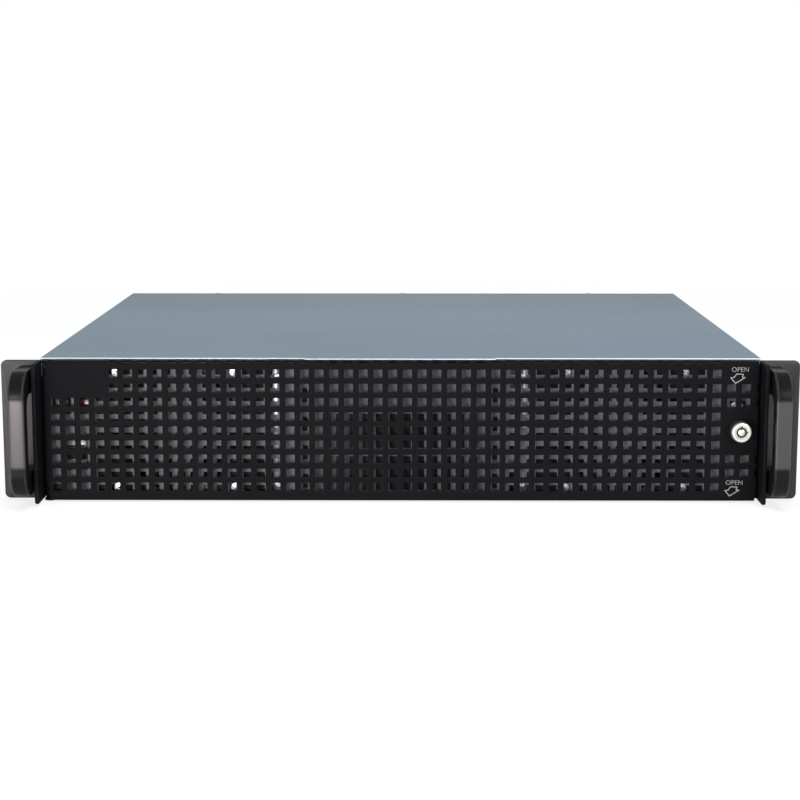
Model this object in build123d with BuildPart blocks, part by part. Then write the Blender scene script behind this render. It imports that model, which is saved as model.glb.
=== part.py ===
"""Empty 2U rackmount server case with a perforated front door, bow handles and a slide-off cover.

Millimetres. +X is to the right of someone facing the door, +Y runs into the case, +Z is up.
The origin is the middle of the case's outline, at the height of the tray's underside.
"""

import os

from build123d import *

os.makedirs("parts", exist_ok=True)

# Overall sizes of the case
rack_width = 482.6  # across both ears, the 19-inch standard
case_depth = 380.0  # from the ears' front face to the tray's rear edge
ear_width = 24.1  # of each ear, outward from the side wall
wall_out = rack_width / 2 - ear_width  # centre to the outside of a side wall
wall_top = 85.4  # underside of the tray to the top of its walls
sheet = 1.0  # steel of the tray, cover, panels and cage
fit_gap = 0.2  # between sheets that are slid or dropped into each other
fold_width = 9.0  # inward fold along the top of each side wall
tray_front = 4.5  # where the tray starts behind the ears' front face

# Rack ears, with a fin that stands out beside the door
ear_bottom = 1.0
ear_height = wall_top - 0.4
ear_plate = 2.5
ear_corner = 3.5
fin_thick = 2.0
fin_reach = 20.0
fin_corner = 3.0
flange_back = 32.0
flange_bottom = 4.0
flange_top = ear_height - 17.0
rack_slot_x = rack_width / 2 - 8.75
rack_slot_pitch = 44.45
rack_slot_length = 10.3
rack_slot_width = 6.8

# Bow handles
handle_reach = 36.0
handle_height = ear_height - 9.0
handle_bar = 10.0
handle_leg = 15.0
handle_rise = 1.3  # from the ear's middle up to the handle's
handle_corner = 15.0
handle_window_corner = 8.0
handle_thick = 9.4
handle_offset = 1.4  # from the fin to the handle

# Door, a shallow pan that turns on two pins at its left edge
door_front = -4.5  # its face, ahead of the ears' front face
door_sheet = 1.2
door_gap = 0.5  # to the fin on each side
door_bottom = 0.4
door_height = wall_top + 0.3
hinge_radius = 3.5
pin_radius = 1.0
eye_reach = 1.9  # from a pin's centre line to the end of its tongue
eye_chamfer = 1.0
hinge_clear = 0.05
bend_notch = 9.6  # the bend stops this far from the door's top and bottom
hole_columns = 48
hole_rows = 9
hole_side = 5.2
hole_margin_side = 8.255  # from the door's edge to the first column's centre line
hole_margin_top = 7.64
hole_margin_bottom = 8.54

# Front panel behind the door, with its fans
panel_front = 3.2
panel_flange = 12.0
fan_side = 80.0
fan_depth = 25.0
fan_x = wall_out - fan_side / 2 - 41.2
fan_hole_pitch = 71.5
fan_wall_gap = 0.75
fan_bore = 38.3
fan_base = wall_top / 2 + 0.3  # height of the fans' shafts
hub_radius = 14.5
hub_sides = 14
shaft_radius = 1.5
blade_count = 7
blade_thick = 1.5
blade_chord = 20.0
blade_pitch = 42.0
blade_root = 3.0  # how far a blade starts inside the hub

# Drive cage between the fans, with its vented plate
cage_flange = 7.0
cage_half = fan_x - fan_side / 2 - cage_flange - 18.6
cage_depth = 126.0
cage_bottom = 2.2
cage_height = wall_top - 5.0
centre_plate_width = 2 * cage_half - 23.8
plate_tab = 10.0
vent_columns = 3
vent_rows = 4
vent_bar = 5.0  # between two vents in a row
vent_height = 6.5
vent_pitch_x = centre_plate_width / vent_columns - 10.0
vent_pitch_z = 12.0
vent_centre_z = 29.0

# Lock
lock_x = wall_out - 12.4
lock_z = wall_top / 2 + 1.6
lock_head_radius = 6.4
lock_head = 9.0
lock_body_half = 5.4  # half the distance across the flats of the eight-sided body
lock_body_sides = 8
lock_core_radius = 3.9
clip_thick = 1.2
clip_width = 16.0
clip_height = 18.0
cam_width = 8.0
cam_reach = 16.0
cam_tail = 5.0
cam_chamfer = 2.0
cam_thick = 1.5
cam_slot_gap = 2.5

# Controls at the left of the front panel
control_x = 19.2 - wall_out
button_side = 7.6
button_x = 7.5  # each button's distance from the controls' centre line
button_z = 58.0
button_proud = 0.5
button_length = 5.0
lens_width = 4.0
lens_height = 2.0
lens_z = 47.0
socket_width = 13.2
socket_height = 5.6
socket_z = 28.0
socket_pitch = 13.0
board_width = 30.0
board_bottom = 13.0
board_top = 70.0
board_thick = 1.6
board_gap = 6.0  # from the panel's back to the board

# Rear panel
rear_front = case_depth - sheet - fit_gap
rear_flange = 8.0
psu_x = 57.2 - wall_out
psu_width = 100.0
psu_height = 70.0
psu_bottom = 7.0
board_hole_x = 132.2 - wall_out  # the column of board holes nearest the power supply
board_hole_y = case_depth - 13.0  # the row of board holes nearest the rear panel
io_x = board_hole_x + 70.0
io_width = 158.75
io_height = 44.45
io_bottom = 6.5
slot_count = 7
slot_pitch = 20.32
slot_first_x = board_hole_x + 164.0
slot_width = 13.0
slot_bottom = 12.0
slot_height = 60.0
slot_cover_width = 18.4
slot_cover_height = 67.0
psu_rail_length = 120.0
psu_rail_height = 40.0
psu_rail_foot = 10.0

# Motherboard standoffs
standoff_height = 6.5
standoff_flats = 5.0
standoff_bore = 1.25
board_columns = (0.0, 157.48, 281.94)
board_rows = (0.0, 154.94, 227.33)

# Cover
cover_gap = 0.5  # to each side wall
cover_lip = 14.0
cover_rear_lip = 8.0
cover_front = 6.0
cover_tongue = 3.0
cover_tongue_half = 58.0
thumb_radius = 4.8
thumb_sides = 12
thumb_head = 8.0
thumb_x = wall_out - 67.2

# Small fasteners
screw_flats = 6.0
screw_head = 2.0

# Places that follow from the sizes above
overall_length = handle_reach + case_depth + sheet + thumb_head
ear_y = handle_reach - overall_length / 2
wall_in = wall_out - sheet
ear_out = rack_width / 2
fin_out = wall_out + fin_thick
door_half = wall_out - door_gap
door_top = door_bottom + door_height
hinge_x = -(door_half - hinge_radius)
hinge_y = ear_y + door_front + hinge_radius
hole_pitch_x = 2 * (door_half - hole_margin_side) / (hole_columns - 1)
hole_pitch_z = (door_height - hole_margin_top - hole_margin_bottom) / (hole_rows - 1)
panel_back = panel_front + sheet
panel_top = wall_top - sheet - fit_gap
cover_out = wall_out + cover_gap + sheet
cover_top = wall_top + fit_gap + sheet
bottom_edge = (Align.CENTER, Align.MIN)


def facing(depth):
    """The plane parallel to the door, this far behind the ears' front face, with +Z up in it."""
    return Plane.XZ.offset(-(ear_y + depth))


def save(builder, label):
    """Names a finished piece and writes it to its own file."""
    builder.part.label = label
    export_step(builder.part, f"parts/{label}.step")


def hex_heads(places, plane, flats=screw_flats, height=screw_head):
    """Hexagonal screw heads that stand on a plane at the given places."""
    with BuildPart() as heads:
        with BuildSketch(plane):
            with Locations(*places):
                RegularPolygon(flats / 2, 6, major_radius=False)
        extrude(amount=height)
    return heads


# Tray: base and side walls folded from one sheet, open at both ends
with BuildPart() as chassis_tray:
    with BuildSketch(facing(tray_front)):
        Rectangle(2 * wall_out, wall_top, align=bottom_edge)
        with Locations((0, sheet)):
            Rectangle(2 * wall_in, wall_top - 2 * sheet, align=bottom_edge, mode=Mode.SUBTRACT)
            Rectangle(2 * (wall_out - fold_width), wall_top, align=bottom_edge, mode=Mode.SUBTRACT)
    extrude(amount=-(case_depth - tray_front))
save(chassis_tray, "chassis_tray")

# Rack ears: a slotted plate with a fin ahead of it and a flange along the side wall
with BuildPart() as left_rack_ear:
    with BuildSketch(facing(0)) as plate:
        with Locations((-ear_out, ear_bottom)):
            Rectangle(ear_out - wall_out, ear_height, align=(Align.MIN, Align.MIN))
        fillet(plate.vertices().group_by(Axis.X)[0], ear_corner)
        with Locations((-rack_slot_x, ear_bottom + ear_height / 2)):
            with GridLocations(1, rack_slot_pitch, 1, 2):
                SlotOverall(rack_slot_length, rack_slot_width, mode=Mode.SUBTRACT)
    extrude(amount=-ear_plate)
    with BuildSketch(Plane.YZ.offset(-fin_out)) as fin:
        with Locations((ear_y - fin_reach, ear_bottom)):
            Rectangle(fin_reach + ear_plate, ear_height, align=(Align.MIN, Align.MIN))
        fillet(fin.vertices().group_by(Axis.X)[0], fin_corner)
        with Locations((ear_y, flange_bottom)):
            Rectangle(flange_back, flange_top - flange_bottom, align=(Align.MIN, Align.MIN))
    extrude(amount=fin_thick)
save(left_rack_ear, "left_rack_ear")

with BuildPart() as right_rack_ear:
    mirror(left_rack_ear.part, about=Plane.YZ)
save(right_rack_ear, "right_rack_ear")

# Bow handles on the ears
handle_x = fin_out + handle_offset
handle_mid = ear_bottom + ear_height / 2 + handle_rise
with BuildPart() as left_handle:
    with BuildSketch(Plane.YZ.offset(-handle_x - handle_thick)):
        with Locations((ear_y, handle_mid)):
            RectangleRounded(2 * handle_reach, handle_height, handle_corner)
            RectangleRounded(
                2 * (handle_reach - handle_bar),
                handle_height - 2 * handle_leg,
                handle_window_corner,
                mode=Mode.SUBTRACT,
            )
            Rectangle(
                2 * handle_reach, handle_height, align=(Align.MIN, Align.CENTER), mode=Mode.SUBTRACT
            )
    extrude(amount=handle_thick)
save(left_handle, "left_handle")

with BuildPart() as right_handle:
    mirror(left_handle.part, about=Plane.YZ)
save(right_handle, "right_handle")

# Handle screws, seated on the back of the ears behind each leg of a handle
leg_z = handle_height / 2 - handle_leg / 2
with BuildPart() as handle_screws:
    with BuildSketch(facing(ear_plate)):
        for side in (-1, 1):
            with Locations((side * (handle_x + handle_thick / 2), handle_mid)):
                with GridLocations(1, 2 * leg_z, 1, 2):
                    RegularPolygon(screw_flats / 2, 6, major_radius=False)
    extrude(amount=-screw_head)
save(handle_screws, "handle_screws")

# Ear screws, seated on the flanges outside the side walls
ear_screw_places = [
    (ear_y + flange_back - 8.0, flange_bottom + 8.0),
    (ear_y + flange_back - 8.0, flange_top - 8.0),
    (ear_y + 12.0, (flange_bottom + flange_top) / 2),
]
with BuildPart() as ear_screws:
    for side in (-1, 1):
        with BuildSketch(Plane.YZ.offset(side * fin_out)):
            with Locations(*ear_screw_places):
                RegularPolygon(screw_flats / 2, 6, major_radius=False)
        extrude(amount=side * screw_head)
save(ear_screws, "ear_screws")

# Front panel: one folded sheet with two fan openings, the cage's mouth, and holes for the controls
cam_slot_half = cam_width / 2 + cam_slot_gap
cam_slot_low = lock_z - lock_body_half - cam_slot_gap
cam_slot_high = lock_z + cam_reach + cam_slot_gap
button_places = [(control_x - button_x, button_z), (control_x + button_x, button_z)]
lens_places = [(control_x - button_x, lens_z), (control_x + button_x, lens_z)]
socket_places = [(control_x, socket_z + side * socket_pitch / 2) for side in (-1, 1)]
with BuildPart() as front_panel:
    with BuildSketch(facing(panel_front)):
        with Locations((0, sheet)):
            Rectangle(2 * (wall_in - fit_gap), panel_top - sheet, align=bottom_edge)
        with Locations((-fan_x, fan_base), (fan_x, fan_base)):
            RegularPolygon(fan_bore, 8, major_radius=False, rotation=22.5, mode=Mode.SUBTRACT)
        with Locations((0, cage_bottom - fit_gap)):
            Rectangle(
                2 * (cage_half + fit_gap), cage_height + 2 * fit_gap, align=bottom_edge, mode=Mode.SUBTRACT
            )
        with Locations(*button_places):
            Rectangle(button_side + 2 * fit_gap, button_side + 2 * fit_gap, mode=Mode.SUBTRACT)
        with Locations(*lens_places):
            Rectangle(lens_width + 2 * fit_gap, lens_height + 2 * fit_gap, mode=Mode.SUBTRACT)
        with Locations(*socket_places):
            Rectangle(socket_width + 2 * fit_gap, socket_height + 2 * fit_gap, mode=Mode.SUBTRACT)
        with Locations((lock_x, cam_slot_low)):
            Rectangle(
                2 * cam_slot_half, cam_slot_high - cam_slot_low, align=bottom_edge, mode=Mode.SUBTRACT
            )
    extrude(amount=-sheet)
    with BuildSketch(facing(panel_back)):
        with Locations((0, sheet), (0, panel_top - sheet)):
            Rectangle(2 * (wall_in - fit_gap), sheet, align=bottom_edge)
        with Locations((0, sheet)):
            Rectangle(2 * (cage_half + fit_gap), panel_top, align=bottom_edge, mode=Mode.SUBTRACT)
    extrude(amount=-panel_flange)
save(front_panel, "front_panel")

# Fans: square frames against the back of the panel, each with a base disc on four struts
fan_back = panel_back + fan_depth
fan_base_disc = 2.5
strut_width = 4.0
fan_centres = [(-fan_x, fan_base), (fan_x, fan_base)]
with BuildPart() as fan_frames:
    with BuildSketch(facing(panel_back)) as outline:
        with Locations(*fan_centres):
            Rectangle(fan_side, fan_side)
        chamfer(outline.vertices(), 3.0)
        with Locations(*fan_centres):
            Circle(fan_bore, mode=Mode.SUBTRACT)
    extrude(amount=-fan_depth)
    with BuildSketch(facing(fan_back)):
        with Locations(*fan_centres):
            RegularPolygon(hub_radius, 8, major_radius=False, rotation=22.5)
            with PolarLocations((hub_radius + fan_bore) / 2, 4, start_angle=45):
                Rectangle(fan_bore - hub_radius + 2, strut_width)
        with Locations(*fan_centres):
            Circle(shaft_radius + hinge_clear, mode=Mode.SUBTRACT)
    extrude(amount=fan_base_disc)
save(fan_frames, "fan_frames")

# Fan rotors: a hub with pitched blades and a shaft that runs in the frame's base disc
rotor_front = panel_back + 1.5
rotor_back = fan_back - fan_base_disc - 1.0
blade_reach = fan_bore - fan_wall_gap - 1.0 - hub_radius
blade_mid = (rotor_front + rotor_back) / 2
for centre_x, label in ((-fan_x, "left_fan_rotor"), (fan_x, "right_fan_rotor")):
    hub_axis = Plane(origin=(centre_x, ear_y + blade_mid, fan_base), x_dir=(1, 0, 0), z_dir=(0, -1, 0))
    with BuildPart() as rotor:
        with BuildSketch(hub_axis.offset(blade_mid - rotor_front)):
            RegularPolygon(hub_radius, hub_sides, major_radius=False, rotation=180 / hub_sides)
        extrude(amount=-(rotor_back - rotor_front))
        with BuildSketch(hub_axis.offset(blade_mid - rotor_back)):
            Circle(shaft_radius)
        extrude(amount=-(fan_back - rotor_back))
        with Locations(hub_axis):
            with PolarLocations(hub_radius + (blade_reach - blade_root) / 2, blade_count):
                Box(
                    blade_reach + blade_root,
                    blade_thick,
                    blade_chord,
                    rotation=(blade_pitch, 0, 0),
                )
    save(rotor, label)

# Fan screws, seated on the front panel at the corners of each fan
with BuildPart() as fan_screws:
    with BuildSketch(facing(panel_front)):
        with Locations(*fan_centres):
            with GridLocations(fan_hole_pitch, fan_hole_pitch, 2, 2):
                RegularPolygon(screw_flats / 2, 6, major_radius=False)
    extrude(amount=screw_head)
save(fan_screws, "fan_screws")

# Drive cage: one folded sheet pushed through the panel, with a flange down each side of its mouth
with BuildPart() as drive_cage:
    with BuildSketch(facing(panel_front)):
        with Locations((0, cage_bottom)):
            Rectangle(2 * cage_half, cage_height, align=bottom_edge)
        with Locations((0, cage_bottom)):
            Rectangle(2 * (cage_half - sheet), cage_height - sheet, align=bottom_edge, mode=Mode.SUBTRACT)
    extrude(amount=-cage_depth)
    with BuildSketch(facing(panel_front)):
        for side in (-1, 1):
            with Locations((side * (cage_half - sheet + (cage_flange + sheet) / 2), cage_bottom)):
                Rectangle(cage_flange + sheet, cage_height, align=bottom_edge)
    extrude(amount=sheet)
    with BuildSketch(facing(panel_back + panel_flange + fit_gap)):
        for side in (-1, 1):
            with Locations((side * (cage_half + cage_flange / 2), sheet)):
                Rectangle(cage_flange, sheet, align=bottom_edge)
            with Locations((side * (cage_half - sheet / 2), sheet)):
                Rectangle(sheet, cage_bottom, align=bottom_edge)
    extrude(amount=-(cage_depth + panel_front - panel_back - panel_flange - fit_gap))
save(drive_cage, "drive_cage")

# Cage screws: on the flanges at the front and on the feet at the back
cage_screw_x = cage_half + cage_flange / 2
with BuildPart() as cage_screws:
    with BuildSketch(facing(panel_front - sheet)):
        with Locations((0, cage_bottom + cage_height / 2)):
            with GridLocations(2 * cage_screw_x, cage_height - 16.0, 2, 2):
                RegularPolygon(screw_flats / 2, 6, major_radius=False)
    extrude(amount=screw_head - sheet)
    with BuildSketch(Plane.XY.offset(2 * sheet)):
        with Locations((0, ear_y + cage_depth - 15.0)):
            with GridLocations(2 * cage_screw_x, 1, 2, 1):
                RegularPolygon(screw_flats / 2, 6, major_radius=False)
    extrude(amount=screw_head)
save(cage_screws, "cage_screws")

# Centre plate across the cage's mouth: flat above, vented below, with a tab to each side of the cage
with BuildPart() as centre_plate:
    with BuildSketch(facing(panel_front)):
        with Locations((0, cage_bottom)):
            Rectangle(centre_plate_width, cage_height - sheet, align=bottom_edge)
        with Locations((0, cage_bottom + cage_height / 2)):
            with GridLocations(1, cage_height / 2, 1, 2):
                Rectangle(2 * (cage_half - sheet), plate_tab)
        with Locations((0, vent_centre_z)):
            with GridLocations(vent_pitch_x, vent_pitch_z, vent_columns, vent_rows):
                Rectangle(vent_pitch_x - vent_bar, vent_height, mode=Mode.SUBTRACT)
    extrude(amount=-sheet)
save(centre_plate, "centre_plate")

# Controls: two flush buttons, two lamps, two sockets, their board and the bracket that holds it
button_front = panel_front - button_proud
button_back = button_front + button_length
for place, label in zip(button_places, ("power_button", "reset_button")):
    with BuildPart() as button:
        with BuildSketch(facing(button_front)):
            with Locations(place):
                Rectangle(button_side, button_side)
        extrude(amount=-button_length)
        with BuildSketch(facing(panel_back + fit_gap)):
            with Locations(place):
                Rectangle(button_side + 2.0, button_side + 2.0)
        extrude(amount=-sheet)
    save(button, label)

board_front = panel_back + board_gap
with BuildPart() as control_board:
    with BuildSketch(facing(board_front)):
        with Locations((control_x, board_bottom)):
            Rectangle(board_width, board_top - board_bottom, align=bottom_edge)
    extrude(amount=-board_thick)
save(control_board, "control_board")

with BuildPart() as indicator_lenses:
    with BuildSketch(facing(panel_front - 0.3)):
        with Locations(*lens_places):
            Rectangle(lens_width, lens_height)
    extrude(amount=-(board_front - panel_front + 0.3))
save(indicator_lenses, "indicator_lenses")

with BuildPart() as usb_sockets:
    with BuildSketch(facing(panel_front - 0.3)):
        with Locations(*socket_places):
            Rectangle(socket_width, socket_height)
    extrude(amount=-(board_front - panel_front + 0.3))
    with BuildSketch(facing(panel_front - 0.3)):
        with Locations(*socket_places):
            Rectangle(socket_width - 0.8, socket_height - 0.8)
    extrude(amount=-5.5, mode=Mode.SUBTRACT)
save(usb_sockets, "usb_sockets")

bracket_back = board_front + board_thick
bracket_foot = 6.0
with BuildPart() as control_bracket:
    with BuildSketch(Plane.YZ.offset(control_x - board_width / 2)):
        with Locations((ear_y + bracket_back, board_bottom - sheet)):
            Rectangle(sheet, board_top - board_bottom + 2 * sheet, align=(Align.MIN, Align.MIN))
        for low in (board_bottom - sheet, board_top):
            with Locations((ear_y + panel_back, low)):
                Rectangle(bracket_back - panel_back, sheet, align=(Align.MIN, Align.MIN))
        for low in (board_bottom - bracket_foot, board_top):
            with Locations((ear_y + panel_back, low)):
                Rectangle(sheet, bracket_foot, align=(Align.MIN, Align.MIN))
    extrude(amount=board_width)
save(control_bracket, "control_bracket")

# Door: a perforated pan whose left edge is rolled round the hinge line, clear of the two brackets
hole_places = [
    (
        (column - (hole_columns - 1) / 2) * hole_pitch_x,
        door_top - hole_margin_top - row * hole_pitch_z,
    )
    for column in range(hole_columns)
    for row in range(hole_rows)
    if not (column < 4 and row < 2)
    and not (column >= hole_columns - 2 and row in (0, 3, 4, 5, 8))
]
with BuildPart() as door_panel:
    with BuildSketch(Plane.XY.offset(door_bottom + bend_notch)):
        with Locations((hinge_x, hinge_y)):
            Circle(hinge_radius)
            Circle(hinge_radius - door_sheet, mode=Mode.SUBTRACT)
            Rectangle(
                2 * hinge_radius, 2 * hinge_radius, align=(Align.MIN, Align.CENTER), mode=Mode.SUBTRACT
            )
            Rectangle(
                2 * hinge_radius, 2 * hinge_radius, align=(Align.CENTER, Align.MIN), mode=Mode.SUBTRACT
            )
    extrude(amount=door_height - 2 * bend_notch)
    for level in (door_bottom, door_top - door_sheet):
        with BuildSketch(Plane.XY.offset(level)):
            with Locations((hinge_x, hinge_y)):
                Circle(hinge_radius)
                Rectangle(door_half - hinge_x, 2 * hinge_radius, align=(Align.MIN, Align.CENTER))
                Circle(pin_radius + hinge_clear, mode=Mode.SUBTRACT)
        extrude(amount=door_sheet)
    with BuildSketch(Plane.YZ.offset(door_half)):
        with Locations((ear_y + door_front, door_bottom)):
            Rectangle(2 * hinge_radius, door_height, align=(Align.MIN, Align.MIN))
    extrude(amount=-door_sheet)
    with BuildSketch(facing(door_front)):
        with Locations((hinge_x, door_bottom)):
            Rectangle(door_half - hinge_x, door_height, align=(Align.MIN, Align.MIN))
        with Locations(*hole_places):
            Rectangle(hole_side, hole_side, mode=Mode.SUBTRACT)
        with Locations((lock_x, lock_z)):
            RegularPolygon(
                lock_body_half + fit_gap,
                lock_body_sides,
                major_radius=False,
                rotation=180 / lock_body_sides,
                mode=Mode.SUBTRACT,
            )
    extrude(amount=-door_sheet)
save(door_panel, "door_panel")

# Hinge brackets on the front panel, each with a tongue and the pin that is riveted in it
eye_drop = 3.5  # from the door's edge to the tongue
eye_thick = 1.5
bracket_length = 11.0
bracket_height = bend_notch - eye_drop - 0.6
with BuildPart() as hinge_brackets:
    for edge, direction in ((door_bottom, 1), (door_top, -1)):
        with BuildSketch(Plane.XY.offset(edge + direction * eye_drop)) as tongue:
            with Locations((hinge_x, hinge_y - eye_reach)):
                Rectangle(
                    2 * eye_reach,
                    ear_y + panel_front - hinge_y + eye_reach,
                    align=bottom_edge,
                )
            chamfer(tongue.vertices().group_by(Axis.Y)[0], eye_chamfer)
        extrude(amount=direction * eye_thick)
        with BuildSketch(Plane.XY.offset(edge + direction * eye_drop)):
            with Locations((hinge_x - eye_reach, ear_y + panel_front)):
                Rectangle(bracket_length, sheet, align=(Align.MIN, Align.MAX))
        extrude(amount=direction * bracket_height)
        with BuildSketch(Plane.XY.offset(edge + direction * 0.1)):
            with Locations((hinge_x, hinge_y)):
                Circle(pin_radius)
        extrude(amount=direction * eye_drop)
save(hinge_brackets, "hinge_brackets")

# Lock: a barrel through the door, held by a clip, with a core that turns the cam behind the panel
lock_front = door_front - lock_head
cam_front = panel_back + 1.0
with BuildPart() as lock_barrel:
    with BuildSketch(facing(lock_front)):
        with Locations((lock_x, lock_z)):
            Circle(lock_head_radius)
    extrude(amount=-lock_head)
    with BuildSketch(facing(door_front)):
        with Locations((lock_x, lock_z)):
            RegularPolygon(
                lock_body_half, lock_body_sides, major_radius=False, rotation=180 / lock_body_sides
            )
    extrude(amount=-(cam_front - fit_gap - door_front))
    with BuildSketch(facing(lock_front)):
        with Locations((lock_x, lock_z)):
            Circle(lock_core_radius + hinge_clear)
    extrude(amount=-(cam_front - lock_front), mode=Mode.SUBTRACT)
save(lock_barrel, "lock_barrel")

# Clip that straddles the barrel's flats against the back of the door
with BuildPart() as lock_clip:
    with BuildSketch(facing(door_front + door_sheet)):
        with Locations((lock_x, lock_z)):
            Rectangle(clip_width, clip_height)
        with Locations((lock_x, lock_z + lock_body_half)):
            Rectangle(
                2 * lock_body_half, clip_height, align=(Align.CENTER, Align.MAX), mode=Mode.SUBTRACT
            )
    extrude(amount=-clip_thick)
save(lock_clip, "lock_clip")

with BuildPart() as lock_core:
    with BuildSketch(facing(lock_front + 0.4)):
        with Locations((lock_x, lock_z)):
            Circle(lock_core_radius)
    extrude(amount=-(cam_front - lock_front - 0.4))
save(lock_core, "lock_core")

with BuildPart() as lock_cam:
    with BuildSketch(facing(cam_front)) as cam:
        with Locations((lock_x, lock_z - cam_tail)):
            Rectangle(cam_width, cam_tail + cam_reach, align=bottom_edge)
        chamfer(cam.vertices(), cam_chamfer)
    extrude(amount=-cam_thick)
save(lock_cam, "lock_cam")

cam_screw = hex_heads([(lock_x, lock_z)], facing(cam_front + cam_thick + screw_head))
save(cam_screw, "cam_screw")

# Rear panel: openings for the power supply, the board's connectors and seven low-profile slots
slot_places = [(slot_first_x + number * slot_pitch, slot_bottom) for number in range(slot_count)]
with BuildPart() as rear_panel:
    with BuildSketch(facing(rear_front)):
        with Locations((0, sheet)):
            Rectangle(2 * (wall_in - fit_gap), panel_top - sheet, align=bottom_edge)
        with Locations((psu_x, psu_bottom)):
            Rectangle(psu_width, psu_height, align=bottom_edge, mode=Mode.SUBTRACT)
        with Locations((io_x, io_bottom)):
            Rectangle(io_width, io_height, align=bottom_edge, mode=Mode.SUBTRACT)
        with Locations(*slot_places):
            Rectangle(slot_width, slot_height, align=bottom_edge, mode=Mode.SUBTRACT)
    extrude(amount=-sheet)
    with BuildSketch(facing(rear_front)):
        with Locations((0, sheet)):
            Rectangle(2 * (wall_in - fit_gap), sheet, align=bottom_edge)
    extrude(amount=rear_flange)
save(rear_panel, "rear_panel")

rear_back = rear_front + sheet
with BuildPart() as slot_covers:
    with BuildSketch(facing(rear_back)):
        with Locations(*[(x, slot_bottom - 3.0) for x, _ in slot_places]):
            Rectangle(slot_cover_width, slot_cover_height, align=bottom_edge)
    extrude(amount=-sheet)
save(slot_covers, "slot_covers")

slot_screw_z = slot_bottom - 3.0 + slot_cover_height
slot_screws = hex_heads(
    [(x, slot_screw_z - 3.2) for x, _ in slot_places], facing(rear_back + sheet + 1.5), height=1.5
)
save(slot_screws, "slot_screws")

# Guide rail beside the power supply's place
with BuildPart() as psu_rail:
    with BuildSketch(facing(rear_front - rear_flange - fit_gap)):
        with Locations((psu_x + psu_width / 2 + 2.0, sheet)):
            Rectangle(sheet, psu_rail_height, align=(Align.MIN, Align.MIN))
            Rectangle(psu_rail_foot, sheet, align=(Align.MIN, Align.MIN))
    extrude(amount=psu_rail_length)
save(psu_rail, "psu_rail")

# Standoffs that carry the motherboard
standoff_places = [(board_hole_x + x, ear_y + board_hole_y - y) for x in board_columns for y in board_rows]
corner_places = [
    (board_hole_x + x, ear_y + board_hole_y - y)
    for x in (board_columns[0], board_columns[-1])
    for y in (board_rows[0], board_rows[-1])
]
with BuildPart() as board_standoffs:
    with BuildSketch(Plane.XY.offset(sheet)):
        with Locations(*standoff_places):
            RegularPolygon(standoff_flats / 2, 6, major_radius=False)
        with Locations(*corner_places):
            Circle(standoff_bore, mode=Mode.SUBTRACT)
    extrude(amount=standoff_height)
save(board_standoffs, "board_standoffs")

# Cover: top with a lip down each side and behind, and a shallow tongue at the front
with BuildPart() as top_cover:
    with BuildSketch(Plane.XY.offset(cover_top - sheet)):
        with Locations((0, ear_y + cover_front)):
            Rectangle(2 * cover_out, case_depth + sheet - cover_front, align=bottom_edge)
        with Locations((0, ear_y + cover_tongue)):
            Rectangle(2 * cover_tongue_half, cover_front, align=bottom_edge)
    extrude(amount=sheet)
    with BuildSketch(facing(cover_front)):
        for side in (-1, 1):
            with Locations((side * (cover_out - sheet / 2), cover_top)):
                Rectangle(sheet, cover_lip, align=(Align.CENTER, Align.MAX))
    extrude(amount=-(case_depth + sheet - cover_front))
    with BuildSketch(facing(case_depth)):
        with Locations((0, cover_top)):
            Rectangle(2 * cover_out, cover_rear_lip + sheet, align=(Align.CENTER, Align.MAX))
    extrude(amount=-sheet)
save(top_cover, "top_cover")

# Thumb screws through the cover's rear lip
thumb_z = cover_top - sheet - cover_rear_lip / 2
with BuildPart() as thumb_screws:
    with BuildSketch(facing(case_depth + sheet)):
        with Locations((0, thumb_z)):
            with GridLocations(thumb_x, 1, 3, 1):
                RegularPolygon(thumb_radius, thumb_sides)
    extrude(amount=-thumb_head)
save(thumb_screws, "thumb_screws")
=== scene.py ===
"""Studio scene of an empty 2U rackmount server case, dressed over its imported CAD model.

Metres, in the model's own frame: +X is to the right of someone facing the door, +Y runs into the
case and +Z is up.
"""

import logging
import math
from bisect import bisect_right
from dataclasses import dataclass
from enum import Enum
from typing import Callable, Sequence

import bmesh
import bpy
from mathutils import Matrix, Vector


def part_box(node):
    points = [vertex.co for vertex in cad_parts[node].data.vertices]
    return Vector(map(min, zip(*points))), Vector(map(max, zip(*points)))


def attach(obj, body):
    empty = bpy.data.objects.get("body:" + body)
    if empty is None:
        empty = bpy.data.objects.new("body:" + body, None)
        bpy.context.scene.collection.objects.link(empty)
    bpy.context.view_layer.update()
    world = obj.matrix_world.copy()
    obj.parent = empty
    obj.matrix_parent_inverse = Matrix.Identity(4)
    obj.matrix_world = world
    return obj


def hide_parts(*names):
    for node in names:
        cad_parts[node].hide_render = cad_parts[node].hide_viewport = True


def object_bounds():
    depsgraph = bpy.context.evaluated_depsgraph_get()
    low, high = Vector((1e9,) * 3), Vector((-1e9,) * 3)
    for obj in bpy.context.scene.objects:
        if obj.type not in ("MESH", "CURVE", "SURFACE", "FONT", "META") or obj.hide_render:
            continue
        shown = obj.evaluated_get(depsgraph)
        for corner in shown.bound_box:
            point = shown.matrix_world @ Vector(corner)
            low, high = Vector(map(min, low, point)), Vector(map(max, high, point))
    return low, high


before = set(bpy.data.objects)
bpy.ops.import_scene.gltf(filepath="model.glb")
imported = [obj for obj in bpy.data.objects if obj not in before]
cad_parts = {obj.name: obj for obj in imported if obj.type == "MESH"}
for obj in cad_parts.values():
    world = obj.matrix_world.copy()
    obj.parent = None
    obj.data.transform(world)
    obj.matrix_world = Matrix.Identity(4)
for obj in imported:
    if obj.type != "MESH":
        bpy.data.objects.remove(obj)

LOG = logging.getLogger("server_case")
CAD_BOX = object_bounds()
MM = 0.001
MERGE = 0.005 * MM  # points of a CAD mesh closer than this are one point
CLOSE = 0.02 * MM  # air between a laid-on sheet and what carries it
Colour = tuple[float, float, float]
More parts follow.
